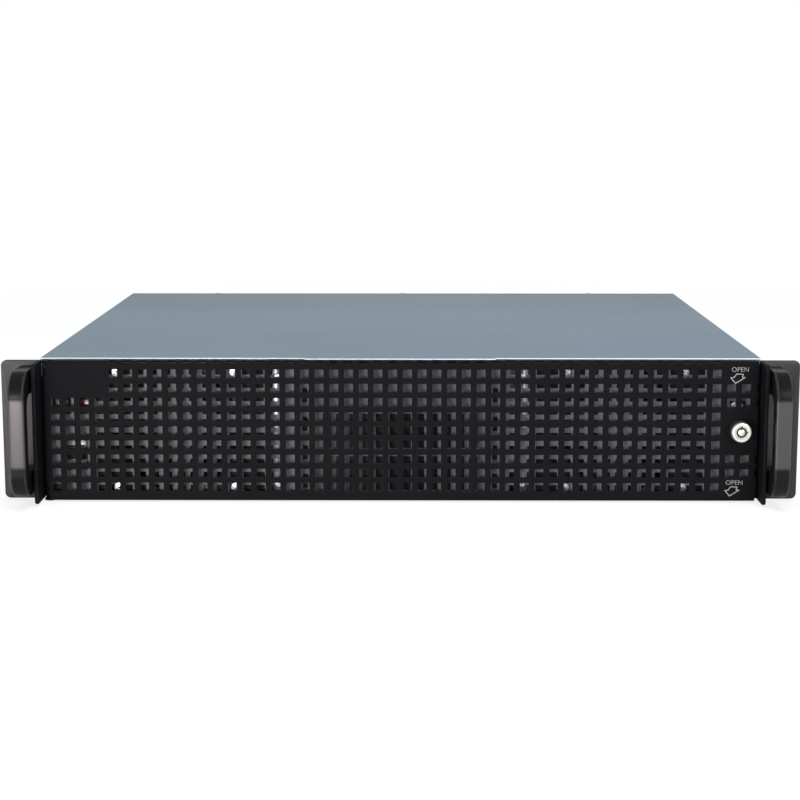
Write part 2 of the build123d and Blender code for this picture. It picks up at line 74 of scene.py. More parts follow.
Span = tuple[float, float]
Source = bpy.types.NodeSocket | float
Group = tuple[bpy.types.ShaderNodeTree, bpy.types.Node, bpy.types.Node]


class Side(Enum):
    """The two sides of the case, as someone facing the door names them."""

    LEFT = -1
    RIGHT = 1


class Lay(Enum):
    """How the fine texture of a finish runs."""

    EVEN = (1.0, 1.0, 1.0)
    ALONG_X = (0.04, 1.0, 1.0)
    ALONG_Y = (1.0, 0.04, 1.0)
    ALONG_Z = (1.0, 1.0, 0.04)


# Shader groups


def shader_group(name: str, inputs: dict[str, str], outputs: dict[str, str]) -> Group:
    """Starts a shader node group with named sockets.

    Args:
        name: the group's name.
        inputs: the kind of each input, by its name.
        outputs: the kind of each output, by its name.

    Returns:
        The tree, its input node and its output node.
    """
    tree = bpy.data.node_groups.new(name, "ShaderNodeTree")
    for way, sockets in (("INPUT", inputs), ("OUTPUT", outputs)):
        for label, kind in sockets.items():
            tree.interface.new_socket(label, in_out=way, socket_type=f"NodeSocket{kind}")
    return tree, tree.nodes.new("NodeGroupInput"), tree.nodes.new("NodeGroupOutput")


def feed(tree: bpy.types.NodeTree, socket: bpy.types.NodeSocket, value: Source | Colour) -> None:
    """Links a socket to an input, or sets the input to a number or a colour.

    Args:
        tree: the tree that holds the input.
        socket: the input.
        value: what it gets.
    """
    if isinstance(value, bpy.types.NodeSocket):
        tree.links.new(value, socket)
    else:
        socket.default_value = (*value, 1.0) if isinstance(value, tuple) else value


def add_node(tree: bpy.types.NodeTree, kind: str, **values: Source | Colour) -> bpy.types.Node:
    """Adds a shader node and feeds its inputs.

    Args:
        tree: the tree to add it to.
        kind: Blender's name for it, after ShaderNode.
        values: a socket, number or colour for an input, with _ for a space in its name.

    Returns:
        The node.
    """
    node = tree.nodes.new(f"ShaderNode{kind}")
    for label, value in values.items():
        feed(tree, node.inputs[label.replace("_", " ")], value)
    return node


def math_node(
    tree: bpy.types.NodeTree, operation: str, first: Source, second: Source
) -> bpy.types.NodeSocket:
    """Adds a Math node fed by sockets or numbers.

    Args:
        tree: the tree to add it to.
        operation: Blender's name for the operation.
        first: a socket or a number.
        second: a socket or a number.

    Returns:
        The node's output socket.
    """
    node = tree.nodes.new("ShaderNodeMath")
    node.operation = operation
    for place, value in enumerate((first, second)):
        feed(tree, node.inputs[place], value)
    return node.outputs[0]


def noise_node(
    tree: bpy.types.NodeTree, vector: bpy.types.NodeSocket, scale: Source, detail: float, rough: float = 0.5
) -> bpy.types.NodeSocket:
    """Adds a noise texture and returns its factor socket.

    Args:
        tree: the tree to add it to.
        vector: the socket with the place on the piece.
        scale: a socket or a number, in cycles a metre.
        detail: how many finer layers it has.
        rough: how strong the finer layers are.

    Returns:
        The factor socket.
    """
    node = add_node(tree, "TexNoise", Vector=vector, Scale=scale, Detail=detail, Roughness=rough)
    return node.outputs[0]


def mix_colour(
    tree: bpy.types.NodeTree, factor: bpy.types.NodeSocket, first: bpy.types.NodeSocket, second: Colour
) -> bpy.types.NodeSocket:
    """Adds a colour Mix node.

    Args:
        tree: the tree to add it to.
        factor: how much of the second colour shows.
        first: the first colour's socket.
        second: the second colour.

    Returns:
        The mixed colour's socket.
    """
    node = tree.nodes.new("ShaderNodeMix")
    node.data_type = "RGBA"
    for place, value in ((0, factor), (6, first), (7, second)):
        feed(tree, node.inputs[place], value)
    return node.outputs[2]


def mix_shaders(
    tree: bpy.types.NodeTree, factor: bpy.types.NodeSocket, first: bpy.types.Node, second: bpy.types.Node
) -> bpy.types.Node:
    """Adds a Mix Shader node between two shaders.

    Args:
        tree: the tree to add it to.
        factor: how much of the second shader shows.
        first: the first shader.
        second: the second shader.

    Returns:
        The node.
    """
    node = tree.nodes.new("ShaderNodeMixShader")
    for place, value in enumerate((factor, first.outputs[0], second.outputs[0])):
        tree.links.new(value, node.inputs[place])
    return node


def grain_group() -> bpy.types.ShaderNodeTree:
    """Builds the fine grain of a finish: a height for its bump and a change of gloss.

    Returns:
        The group.
    """
    tree, into, out = shader_group(
        "fine_grain", {"Vector": "Vector", "Scale": "Float", "Soil": "Float"},
        {"Height": "Float", "Gloss": "Float"},
    )
    fine = noise_node(tree, into.outputs["Vector"], into.outputs["Scale"], 4.0, 0.6)
    coarse_scale = math_node(tree, "MULTIPLY", into.outputs["Scale"], 0.18)
    coarse = noise_node(tree, into.outputs["Vector"], coarse_scale, 2.0)
    height = math_node(tree, "ADD", fine, math_node(tree, "MULTIPLY", coarse, 0.7))
    tree.links.new(height, out.inputs["Height"])
    patches = noise_node(tree, into.outputs["Vector"], 14.0, 3.0)
    swing = math_node(tree, "SUBTRACT", patches, 0.5)
    tree.links.new(math_node(tree, "MULTIPLY", swing, into.outputs["Soil"]), out.inputs["Gloss"])
    return tree


def tone_group() -> bpy.types.ShaderNodeTree:
    """Builds the slow drift of a finish's colour over a surface, with faint specks.

    Returns:
        The group.
    """
    tree, into, out = shader_group(
        "tone_drift", {"Vector": "Vector", "Colour": "Color", "Amount": "Float"}, {"Colour": "Color"}
    )
    drift = noise_node(tree, into.outputs["Vector"], 7.0, 4.0, 0.55)
    fleck = noise_node(tree, into.outputs["Vector"], 420.0, 2.0)
    both = math_node(tree, "ADD", drift, math_node(tree, "MULTIPLY", fleck, 0.35))
    swing = math_node(tree, "SUBTRACT", both, 0.675)
    gain = math_node(tree, "ADD", math_node(tree, "MULTIPLY", swing, into.outputs["Amount"]), 1.0)
    vector = tree.nodes.new("ShaderNodeVectorMath")
    vector.operation = "SCALE"
    tree.links.new(into.outputs["Colour"], vector.inputs[0])
    tree.links.new(gain, vector.inputs["Scale"])
    tree.links.new(vector.outputs[0], out.inputs["Colour"])
    return tree


def wear_group() -> bpy.types.ShaderNodeTree:
    """Builds the mask of worn edges: broken patches along the faces marked as edges.

    Returns:
        The group.
    """
    tree, into, out = shader_group(
        "edge_wear", {"Vector": "Vector", "Edge": "Float", "Amount": "Float"}, {"Mask": "Float"}
    )
    patches = noise_node(tree, into.outputs["Vector"], 55.0, 5.0, 0.65)
    level = math_node(tree, "SUBTRACT", patches, 0.34)
    steep = tree.nodes.new("ShaderNodeClamp")
    tree.links.new(math_node(tree, "MULTIPLY", level, 3.2), steep.inputs[0])
    kept = math_node(tree, "MULTIPLY", steep.outputs[0], into.outputs["Edge"])
    tree.links.new(math_node(tree, "MULTIPLY", kept, into.outputs["Amount"]), out.inputs["Mask"])
    return tree


def band_group() -> bpy.types.ShaderNodeTree:
    """Builds the mask of a band between two heights, with soft ends.

    Returns:
        The group.
    """
    tree, into, out = shader_group(
        "height_band", {"Vector": "Vector", "Low": "Float", "High": "Float", "Fade": "Float"},
        {"Mask": "Float"},
    )
    parts = tree.nodes.new("ShaderNodeSeparateXYZ")
    tree.links.new(into.outputs["Vector"], parts.inputs[0])
    height = parts.outputs["Z"]
    ends = []
    for first, second in ((height, into.outputs["Low"]), (into.outputs["High"], height)):
        run = math_node(tree, "DIVIDE", math_node(tree, "SUBTRACT", first, second), into.outputs["Fade"])
        limit = tree.nodes.new("ShaderNodeClamp")
        tree.links.new(run, limit.inputs[0])
        ends.append(limit.outputs[0])
    tree.links.new(math_node(tree, "MULTIPLY", ends[0], ends[1]), out.inputs["Mask"])
    return tree


@dataclass(frozen=True)
class ShaderKit:
    """The shader groups that every finish shares."""

    grain: bpy.types.ShaderNodeTree
    tone: bpy.types.ShaderNodeTree
    wear: bpy.types.ShaderNodeTree
    band: bpy.types.ShaderNodeTree


@dataclass(frozen=True)
class Finish:
    """A surface finish: its colour, its gloss, its grain and how its edges wear."""

    slot: str
    colour: Colour
    roughness: float
    metallic: float = 0.0
    specular: float = 0.5
    grain: float = 1500.0  # cycles a metre
    depth: float = 0.03  # of the grain, in millimetres
    lay: Lay = Lay.EVEN
    drift: float = 0.25
    soil: float = 0.12
    worn: Colour = (0.30, 0.30, 0.31)
    wear: float = 0.35
    coat: float = 0.0
    coat_roughness: float = 0.12
    transmission: float = 0.0
    # a band between two heights with a lighter colour and a coat: painted sheen
    band: Span | None = None
    sheen_fade: float = 2.0 * MM
    sheen_colour: Colour = (0.0, 0.0, 0.0)
    rubbed: float = 0.12  # how much smoother a worn edge is
    bump: float = 0.5

    def material(self, name: str, kit: ShaderKit) -> bpy.types.Material:
        """Builds the finish's material.

        Args:
            name: the material's name.
            kit: the shared shader groups.

        Returns:
            The material, with its grain, drift of colour and worn edges.
        """
        material = bpy.data.materials.new(name)
        material.use_nodes = True
        material.diffuse_color = (*self.colour, 1.0)
        tree = material.node_tree
        shader = tree.nodes["Principled BSDF"]
        for label, value in (
            ("Metallic", self.metallic), ("Specular IOR Level", self.specular), ("Coat Weight", self.coat),
            ("Coat Roughness", self.coat_roughness), ("Transmission Weight", self.transmission),
        ):
            shader.inputs[label].default_value = value
        place = add_node(tree, "TexCoord").outputs["Object"]
        drawn = add_node(tree, "Mapping", Vector=place)
        drawn.inputs["Scale"].default_value = self.lay.value
        tone = self._group(tree, kit.tone, Vector=place, Colour=self.colour, Amount=self.drift)
        edge = add_node(tree, "Attribute")
        edge.attribute_name = "edge"
        wear = self._group(tree, kit.wear, Vector=place, Edge=edge.outputs["Fac"], Amount=self.wear)
        mask = wear.outputs["Mask"]
        colour = mix_colour(tree, mask, tone.outputs["Colour"], self.worn)
        # painted sheen: a lighter colour and a coat in a band between two heights
        if self.band:
            inside = self._group(
                tree, kit.band, Vector=place, Low=self.band[0], High=self.band[1], Fade=self.sheen_fade
            ).outputs["Mask"]
            colour = mix_colour(tree, inside, colour, self.sheen_colour)
            tree.links.new(inside, shader.inputs["Coat Weight"])
        tree.links.new(colour, shader.inputs["Base Color"])
        grain = self._group(
            tree, kit.grain, Vector=drawn.outputs["Vector"], Scale=self.grain, Soil=self.soil
        )
        gloss = math_node(tree, "ADD", grain.outputs["Gloss"], self.roughness)
        gloss = math_node(tree, "SUBTRACT", gloss, math_node(tree, "MULTIPLY", mask, self.rubbed))
        tree.links.new(gloss, shader.inputs["Roughness"])
        bump = add_node(
            tree, "Bump", Strength=self.bump, Distance=self.depth * MM, Height=grain.outputs["Height"]
        )
        tree.links.new(bump.outputs["Normal"], shader.inputs["Normal"])
        return material

    @staticmethod
    def _group(
        tree: bpy.types.NodeTree, group: bpy.types.ShaderNodeTree, **values: Source | Colour
    ) -> bpy.types.Node:
        """Places a shared group in a material and feeds it.

        Args:
            tree: the material's tree.
            group: the shared group.
            values: a socket, number or colour for each of its inputs.

        Returns:
            The placed node.
        """
        node = tree.nodes.new("ShaderNodeGroup")
        node.node_tree = group
        for label, value in values.items():
            feed(tree, node.inputs[label], value)
        return node


FINISHES: dict[str, Finish] = {
    "satin_zinc": Finish(
        "case_steel", (0.168, 0.214, 0.254), 0.50, metallic=0.10, specular=0.06, grain=900.0,
        depth=0.02, lay=Lay.ALONG_X, drift=0.16, soil=0.10, worn=(0.40, 0.43, 0.46), wear=0.6,
    ),
    # the cover's cut front edge: bare metal, painted near white as a highlight along the lit front bend
    "front_edge_highlight": Finish(
        "case_steel", (0.90, 0.92, 0.94), 0.40, metallic=0.3, grain=900.0, depth=0.02, drift=0.5, wear=0.0,
    ),
    "door_powder": Finish(
        "black_powder", (0.0060, 0.0062, 0.0078), 0.60, specular=0.05, grain=1900.0, depth=0.06,
        drift=0.30, worn=(0.055, 0.054, 0.057), wear=0.40,
    ),
    "ear_powder": Finish(
        "black_powder", (0.019, 0.0185, 0.0185), 0.44, specular=0.40, grain=1600.0, depth=0.05,
        drift=0.26, worn=(0.085, 0.085, 0.085), wear=0.55,
    ),
    "panel_powder": Finish(
        "black_powder", (0.010, 0.010, 0.011), 0.62, specular=0.2, grain=1900.0, depth=0.05,
    ),
    "guard_paint": Finish(
        "black_powder", (0.175, 0.172, 0.182), 0.6, specular=0.3, grain=1500.0, depth=0.04, drift=0.3,
        worn=(0.22, 0.22, 0.22), wear=0.3,
    ),
    "handle_satin": Finish(
        "handle_black", (0.0062, 0.0060, 0.0060), 0.34, specular=0.12, grain=1300.0, depth=0.03,
        drift=0.22, worn=(0.06, 0.058, 0.056), wear=0.45,
    ),
    # the grip's front face: the lighter pinkish band across its middle is painted sheen
    "handle_grip_sheen": Finish(
        "handle_black", (0.0062, 0.0060, 0.0060), 0.36, specular=0.12, grain=1100.0, depth=0.04,
        lay=Lay.ALONG_Z, drift=0.30, worn=(0.06, 0.058, 0.056), wear=0.45, coat_roughness=0.36,
        band=(25.5 * MM, 67.8 * MM), sheen_fade=2.2 * MM, sheen_colour=(0.036, 0.0315, 0.0300),
    ),
    "bright_zinc": Finish(
        "bright_zinc", (0.52, 0.53, 0.55), 0.33, metallic=1.0, grain=2600.0, depth=0.02,
        drift=0.18, worn=(0.88, 0.89, 0.90), wear=0.5,
    ),
    "rolled_zinc": Finish(
        "cage_zinc", (0.46, 0.47, 0.49), 0.38, metallic=0.9, grain=700.0, depth=0.03,
        lay=Lay.ALONG_Z, drift=0.35, worn=(0.80, 0.81, 0.82), wear=0.6,
    ),
    # painted shade: the drive cage's inside, darker than its bright zinc flanges
    "shaded_cage_zinc": Finish(
        "cage_zinc", (0.07, 0.07, 0.073), 0.55, metallic=0.4, specular=0.3, grain=700.0, depth=0.03,
        drift=0.35, worn=(0.2, 0.2, 0.2), wear=0.3,
    ),
    "plate_paint": Finish(
        "plate_grey", (0.135, 0.132, 0.140), 0.58, specular=0.3, grain=1500.0, depth=0.04, drift=0.3,
        worn=(0.22, 0.22, 0.22), wear=0.3,
    ),
    "frame_plastic": Finish(
        "fan_plastic", (0.022, 0.022, 0.023), 0.48, grain=2400.0, depth=0.05, wear=0.15,
    ),
    "rotor_plastic": Finish(
        "rotor_plastic", (0.028, 0.028, 0.031), 0.42, grain=2000.0, depth=0.02, wear=0.15,
    ),
    "key_plastic": Finish(
        "button_plastic", (0.05, 0.05, 0.055), 0.30, grain=1500.0, depth=0.01, coat=0.2, wear=0.1,
    ),
    "red_plastic": Finish(
        "reset_plastic", (0.10, 0.012, 0.012), 0.30, grain=1500.0, depth=0.01, coat=0.2, wear=0.1,
    ),
    "lamp_plastic": Finish(
        "lens_clear", (0.75, 0.80, 0.80), 0.25, grain=900.0, depth=0.01, transmission=0.35, wear=0.0,
    ),
    "mark_ink": Finish(
        "lens_clear", (0.34, 0.34, 0.33), 0.6, grain=2500.0, depth=0.03, drift=0.5, wear=0.0,
    ),
    "board_mask": Finish(
        "board_green", (0.016, 0.10, 0.05), 0.35, grain=600.0, depth=0.03, drift=0.5, coat=0.3,
    ),
    "plated_steel": Finish(
        "socket_steel", (0.22, 0.22, 0.23), 0.42, metallic=1.0, grain=2000.0, depth=0.01, drift=0.15,
    ),
    "warm_nickel": Finish(
        "lock_nickel", (0.78, 0.76, 0.71), 0.30, metallic=0.6, grain=1500.0, depth=0.01, drift=0.12,
        worn=(0.95, 0.93, 0.88), wear=0.5,
    ),
    "dark_barrel": Finish(
        "black_powder", (0.020, 0.020, 0.020), 0.38, specular=0.6, grain=1500.0, depth=0.02,
    ),
    "key_brass": Finish(
        "core_brass", (0.055, 0.040, 0.020), 0.5, metallic=0.5, specular=0.3, grain=1800.0, depth=0.05,
        drift=1.2, worn=(0.30, 0.24, 0.12), wear=0.4,
    ),
    "turned_brass": Finish(
        "standoff_brass", (0.70, 0.55, 0.28), 0.28, metallic=1.0, grain=1200.0, depth=0.02,
    ),
}


# Mesh tools


def to_object(
    name: str, mesh_builder: bmesh.types.BMesh, material: bpy.types.Material, smooth_to: float = 38.0
) -> bpy.types.Object:
    """Turns a bmesh into an object at the origin, smooth up to an angle.

    Args:
        name: the object's name.
        mesh_builder: the bmesh, which is freed.
        material: its material.
        smooth_to: edges sharper than this many degrees stay sharp.

    Returns:
        The object.
    """
    mesh = bpy.data.meshes.new(name)
    mesh_builder.to_mesh(mesh)
    mesh_builder.free()
    mesh.materials.append(material)
    mesh.shade_smooth()
    mesh.set_sharp_from_angle(angle=math.radians(smooth_to))
    piece = bpy.data.objects.new(name, mesh)
    bpy.context.scene.collection.objects.link(piece)
    return piece


def bevel_sharp(
    work: bmesh.types.BMesh, width: float, segments: int = 2, from_angle: float = 40.0
) -> None:
    """Rounds the sharp edges of a bmesh and marks the new faces as edges for the wear.

    Args:
        work: the bmesh.
        width: how wide each rounding is, in metres.
        segments: how many faces run across a rounding.
        from_angle: edges sharper than this many degrees are rounded.
    """
    layer = work.faces.layers.float.get("edge") or work.faces.layers.float.new("edge")
    limit = math.radians(from_angle)
    sharp = [e for e in work.edges if len(e.link_faces) == 2 and e.calc_face_angle(0.0) > limit]
    done = bmesh.ops.bevel(
        work, geom=sharp, offset=width, offset_type="OFFSET", segments=segments, profile=0.5,
        affect="EDGES", clamp_overlap=False, material=-1,
    )
    for face in done["faces"]:
        face[layer] = 1.0


def softened(
    node: str, width: float, material: bpy.types.Material, name: str, segments: int = 2
) -> bpy.types.Object:
    """Copies a CAD node's mesh, merges it and rounds its edges.

    Args:
        node: the CAD node.
        width: how wide each rounding is, in metres.
        material: the copy's material.
        name: the copy's name.
        segments: how many faces run across a rounding.

    Returns:
        The new object, in the node's place.
    """
    work = bmesh.new()
    work.from_mesh(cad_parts[node].data)
    bmesh.ops.remove_doubles(work, verts=work.verts, dist=MERGE)
    bmesh.ops.dissolve_limit(
        work, angle_limit=math.radians(0.5), verts=work.verts, edges=work.edges,
        use_dissolve_boundaries=False,
    )
    bevel_sharp(work, width, segments)
    return to_object(name, work, material)


def dress(piece: bpy.types.Object, material: bpy.types.Material, chosen: Callable[..., bool]) -> None:
    """Gives some faces of a piece a second material.

    Args:
        piece: the piece.
        material: the second material.
        chosen: whether a face, given as a mesh polygon, takes it.
    """
    mesh = piece.data
    mesh.materials.append(material)
    for face in mesh.polygons:
        if chosen(face):
            face.material_index = len(mesh.materials) - 1


def turned(
    work: bmesh.types.BMesh, profile: Sequence[Span], place: Matrix, segments: int = 48, closed: bool = False
) -> list[bmesh.types.BMVert]:
    """Spins a profile into a round solid.

    Args:
        work: the bmesh to add it to.
        profile: pairs of radius and height, from end to end.
        place: where the solid's axis, its own Z, goes.
        segments: how many faces go round.
        closed: whether the profile is a ring that closes on itself.

    Returns:
        The solid's vertices.
    """
    made = bmesh.new()
    points = [made.verts.new((radius, 0.0, height)) for radius, height in profile]
    pairs = list(zip(points, points[1:])) + ([(points[-1], points[0])] if closed else [])
    edges = [made.edges.new(pair) for pair in pairs]
    bmesh.ops.spin(
        made, geom=points + edges, cent=(0, 0, 0), axis=(0, 0, 1), dvec=(0, 0, 0),
        angle=math.tau, steps=segments, use_merge=True, use_duplicate=False,
    )
    bmesh.ops.remove_doubles(made, verts=made.verts, dist=0.002 * MM)
    bmesh.ops.recalc_face_normals(made, faces=made.faces)
    made.transform(place)
    return absorb(work, made)


def absorb(work: bmesh.types.BMesh, extra: bmesh.types.BMesh) -> list[bmesh.types.BMVert]:
    """Adds one bmesh to another and frees it.

    Args:
        work: the bmesh that grows.
        extra: the bmesh that is added and freed.

    Returns:
        The added vertices.
    """
    before = len(work.verts)
    passing = bpy.data.meshes.new("passing")
    extra.to_mesh(passing)
    extra.free()
    work.from_mesh(passing)
    bpy.data.meshes.remove(passing)
    work.verts.ensure_lookup_table()
    return work.verts[before:]


def facing_door(x: float, y: float, z: float) -> Matrix:
    """The placement that turns a solid's own Z towards the door side, at a point in metres."""
    return Matrix.Translation((x, y, z)) @ Matrix.Rotation(math.radians(90), 4, "X")


def facing_back(x: float, y: float, z: float) -> Matrix:
    """The placement that turns a solid's own Z towards the rear, at a point in metres."""
    return Matrix.Translation((x, y, z)) @ Matrix.Rotation(math.radians(-90), 4, "X")


def block(
    work: bmesh.types.BMesh, low: Sequence[float], high: Sequence[float], width: float = 0.0
) -> None:
    """Adds a block between two corners.

    Args:
        work: the bmesh to add it to.
        low: the lowest corner.
        high: the highest corner.
        width: how wide its edges are rounded, in metres.
    """
    made = bmesh.new()
    size = [b - a for a, b in zip(low, high)]
    middle = [(a + b) / 2 for a, b in zip(low, high)]
    bmesh.ops.create_cube(made, size=1.0)
    made.transform(Matrix.Translation(middle) @ Matrix.Diagonal((*size, 1.0)))
    if width:
        bevel_sharp(made, width)
    absorb(work, made)


def pierced_sheet(
    low: Span, high: Span, columns: Sequence[Span], rows: Sequence[Span],
    is_open: Callable[[int, int], bool], bends: Sequence[Sequence[float]] = ((), ()),
) -> bmesh.types.BMesh:
    """Cuts a flat sheet, in X and Z, into cells and takes out the open ones.

    Args:
        low: the sheet's lowest X and Z.
        high: the sheet's highest X and Z.
        columns: the X span of each column of openings.
        rows: the Z span of each row of openings.
        is_open: whether the opening at a column and row is punched.
        bends: further X lines and Z lines to cut along.

    Returns:
        The sheet, one face thick, facing the door side.
    """
    work = bmesh.new()
    bmesh.ops.create_grid(work, x_segments=1, y_segments=1, size=0.5)
    size_x, size_z = high[0] - low[0], high[1] - low[1]
    work.transform(
        Matrix.Translation(((low[0] + high[0]) / 2, 0.0, (low[1] + high[1]) / 2))
        @ Matrix.Rotation(math.radians(90), 4, "X")
        @ Matrix.Diagonal((size_x, size_z, 1.0, 1.0))
    )
    for axis, spans, lines in ((0, columns, bends[0]), (2, rows, bends[1])):
        normal = Vector((0, 0, 0))
        normal[axis] = 1.0
        for cut in sorted({value for span in spans for value in span} | set(lines)):
            point = Vector((0, 0, 0))
            point[axis] = cut
            bmesh.ops.bisect_plane(
                work, geom=work.verts[:] + work.edges[:] + work.faces[:], dist=1e-7,
                plane_co=point, plane_no=normal,
            )
    starts_x = [span[0] for span in columns]
    starts_z = [span[0] for span in rows]
    punched = []
    for face in work.faces:
        centre = face.calc_center_median()
        column = bisect_right(starts_x, centre.x) - 1
        row = bisect_right(starts_z, centre.z) - 1
        if column < 0 or row < 0 or centre.x > columns[column][1] or centre.z > rows[row][1]:
            continue
        if is_open(column, row):
            punched.append(face)
    bmesh.ops.delete(work, geom=punched, context="FACES")
    return work


def openings(centres: Sequence[float], width: float) -> list[Span]:
    """The spans of a row of openings of one width, from their centres."""
    return [(centre - width / 2, centre + width / 2) for centre in centres]


def thicken(work: bmesh.types.BMesh, sheet: float) -> None:
    """Gives a sheet its thickness behind its face.

    Args:
        work: the sheet, one face thick.
        sheet: the thickness, in metres.
    """
    bmesh.ops.recalc_face_normals(work, faces=work.faces)
    front = sum((face.normal.y * face.calc_area() for face in work.faces), 0.0)
    if front > 0:
        bmesh.ops.reverse_faces(work, faces=work.faces)
    bmesh.ops.solidify(work, geom=work.faces[:], thickness=sheet)
    bmesh.ops.recalc_face_normals(work, faces=work.faces)


# Placing


@dataclass(frozen=True)
class Bench:
    """The finishes at hand, and the way a finished piece joins the case."""

    materials: dict[str, bpy.types.Material]

    def place(self, piece: bpy.types.Object, body: str, finish: str, *nodes: str) -> None:
        """Rides a piece on its body and hides the nodes it stands for.

        Args:
            piece: the finished piece.
            body: the CAD body it moves with.
            finish: the finish it wears; not used.
            nodes: the CAD nodes it stands for.
        """
        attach(piece, body)
        if nodes:
            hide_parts(*nodes)
        LOG.info("%s rides on %s", piece.name, body)


# Sub-assemblies


@dataclass(frozen=True)
class SheetMetal:
    """The folded and cut pieces whose CAD shape is right, given rounded edges."""

    edge: float = 0.22 * MM
    fine_edge: float = 0.12 * MM
    socket_edge: float = 0.08 * MM
    lens_edge: float = 0.25 * MM
    key_edge: float = 0.35 * MM
    frame_edge: float = 0.45 * MM
    cover_edge: float = 0.42 * MM
    painted: float = 8.0 * MM  # of the tray's front, given the front panel's black powder as painted shade
    tongue: float = 6.0 * MM  # of the cover's front, where its cut edge lies and carries the painted highlight
    flange: float = 1.2 * MM  # of the cage's front, bright; behind it the cage is darkened with painted shade

    def build(self, bench: Bench) -> None:
        """Makes the tray, cover, panels and small sheet pieces.

        Args:
            bench: the finishes and the placing.
        """
        plain = (
            ("rear_panel", "chassis", "satin_zinc", self.edge),
            ("front_panel", "chassis", "panel_powder", self.edge),
            ("slot_covers", "chassis", "bright_zinc", self.edge),
            ("psu_rail", "chassis", "rolled_zinc", self.edge),
            ("control_bracket", "chassis", "rolled_zinc", self.edge),
            ("hinge_brackets", "chassis", "panel_powder", self.fine_edge),
            ("control_board", "chassis", "board_mask", self.fine_edge),
            ("usb_sockets", "chassis", "plated_steel", self.socket_edge),
            ("indicator_lenses", "chassis", "lamp_plastic", self.lens_edge),
            ("power_button", "power_key", "key_plastic", self.key_edge),
            ("reset_button", "reset_key", "red_plastic", self.key_edge),
            ("board_standoffs", "chassis", "turned_brass", self.fine_edge),
            ("lock_clip", "door", "bright_zinc", self.fine_edge),
            ("lock_cam", "lock", "bright_zinc", self.edge),
            ("fan_frames", "chassis", "frame_plastic", self.frame_edge),
        )
        for node, body, finish, width in plain:
            piece = softened(node, width, bench.materials[finish], f"{node}_finished")
            bench.place(piece, body, finish, node)
        self._tray(bench)
        self._cover(bench)
        self._cage(bench)

    def _tray(self, bench: Bench) -> None:
        """Makes the tray, whose front edges take the front panel's black powder as painted shade.

        Args:
            bench: the finishes and the placing.
        """
        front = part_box("chassis_tray")[0][1]
        steel = bench.materials["satin_zinc"]
        piece = softened("chassis_tray", self.edge, steel, "chassis_tray_finished")
        # the first millimetres of the tray take black powder: painted shade where the tray shows beside the
        # door
        dress(piece, bench.materials["panel_powder"], lambda face: face.center.y < front + self.painted)
        bench.place(piece, "chassis", "satin_zinc", "chassis_tray")

    def _cover(self, bench: Bench) -> None:
        """Makes the cover, whose cut front edge shows bare metal with a near-white painted highlight.

        Args:
            bench: the finishes and the placing.
        """
        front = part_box("top_cover")[0][1]
        steel = bench.materials["satin_zinc"]
        piece = softened("top_cover", self.cover_edge, steel, "top_cover_finished")
        # forward-facing faces at the front take the near-white finish: bare edge and painted highlight
        dress(
            piece, bench.materials["front_edge_highlight"],
            lambda face: face.normal.y < -0.3 and face.center.y < front + self.tongue,
        )
        bench.place(piece, "cover", "satin_zinc", "top_cover")

    def _cage(self, bench: Bench) -> None:
        """Makes the drive cage, bright on its front flanges and darkened inside with painted shade.

        Args:
            bench: the finishes and the placing.
        """
        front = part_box("drive_cage")[0][1]
        zinc = bench.materials["rolled_zinc"]
        piece = softened("drive_cage", self.edge, zinc, "drive_cage_finished")
        # faces behind the bright flange take the darker zinc: painted shade for the cage's inside
        dress(piece, bench.materials["shaded_cage_zinc"], lambda face: face.center.y > front + self.flange)
        bench.place(piece, "chassis", "rolled_zinc", "drive_cage")


@dataclass(frozen=True)
class RackFront:
    """The slotted ears with their fins, and the bow handles."""

    ear_edge: float = 0.38 * MM
    ear_steps: int = 3
    handle_edge: float = 1.25 * MM
    handle_steps: int = 4
    fin_start: float = 0.5 * MM  # ahead of the ear's face
    grip_turn: float = -0.55  # a handle's faces that look further forward than this are its grip, with a band of painted sheen
    # the dark blocks at the ears' feet are painted shade: their width, height, reach and foot
    root: float = 1.2 * MM
    shade_top: float = 6.0 * MM
    shade_reach: float = 2.2 * MM  # ahead of the tray
    shade_foot: float = 0.3 * MM  # above the ear's lower edge

    def build(self, bench: Bench) -> None:
        """Makes the ears and the handles.

        Args:
            bench: the finishes and the placing.
        """
        for side in Side:
            name = side.name.lower()
            ear_node, handle_node = f"{name}_rack_ear", f"{name}_handle"
            powder, satin = bench.materials["ear_powder"], bench.materials["handle_satin"]
            ear = softened(ear_node, self.ear_edge, powder, f"{name}_ear_finished", self.ear_steps)
            # the fin ahead of the ear's face takes the door's darker powder: painted shade on the same bent
            # sheet as the plate
            fin_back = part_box(handle_node)[1][1] - self.fin_start
            dress(ear, bench.materials["door_powder"], lambda face, back=fin_back: face.center.y < back)
            bench.place(ear, "chassis", "ear_powder", ear_node)
            handle = softened(handle_node, self.handle_edge, satin, f"{name}_bow", self.handle_steps)
            # front faces take the grip finish, whose band is painted sheen
            dress(handle, bench.materials["handle_grip_sheen"], lambda face: face.normal.y < self.grip_turn)
            bench.place(handle, "chassis", "handle_satin", handle_node)
        self._gap_shades(bench)

    def _gap_shades(self, bench: Bench) -> None:
        """Makes a small dark block at the foot of each ear beside the tray's front: painted shade that
        closes the gap there.

        Args:
            bench: the finishes and the placing.
        """
        work = bmesh.new()
        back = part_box("chassis_tray")[0][1]
        for side in Side:
            low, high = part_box(f"{side.name.lower()}_rack_ear")
            near = high[0] if side is Side.LEFT else low[0]
            ends = sorted((near, near + side.value * self.root))
            block(
                work, (ends[0], back - self.shade_reach, low[2] + self.shade_foot),
                (ends[1], back + MM, self.shade_top),
            )
        # the dark blocks of painted shade
        piece = to_object("ear_gap_shades", work, bench.materials["ear_powder"])
        bench.place(piece, "chassis", "ear_powder", "left_rack_ear", "right_rack_ear")


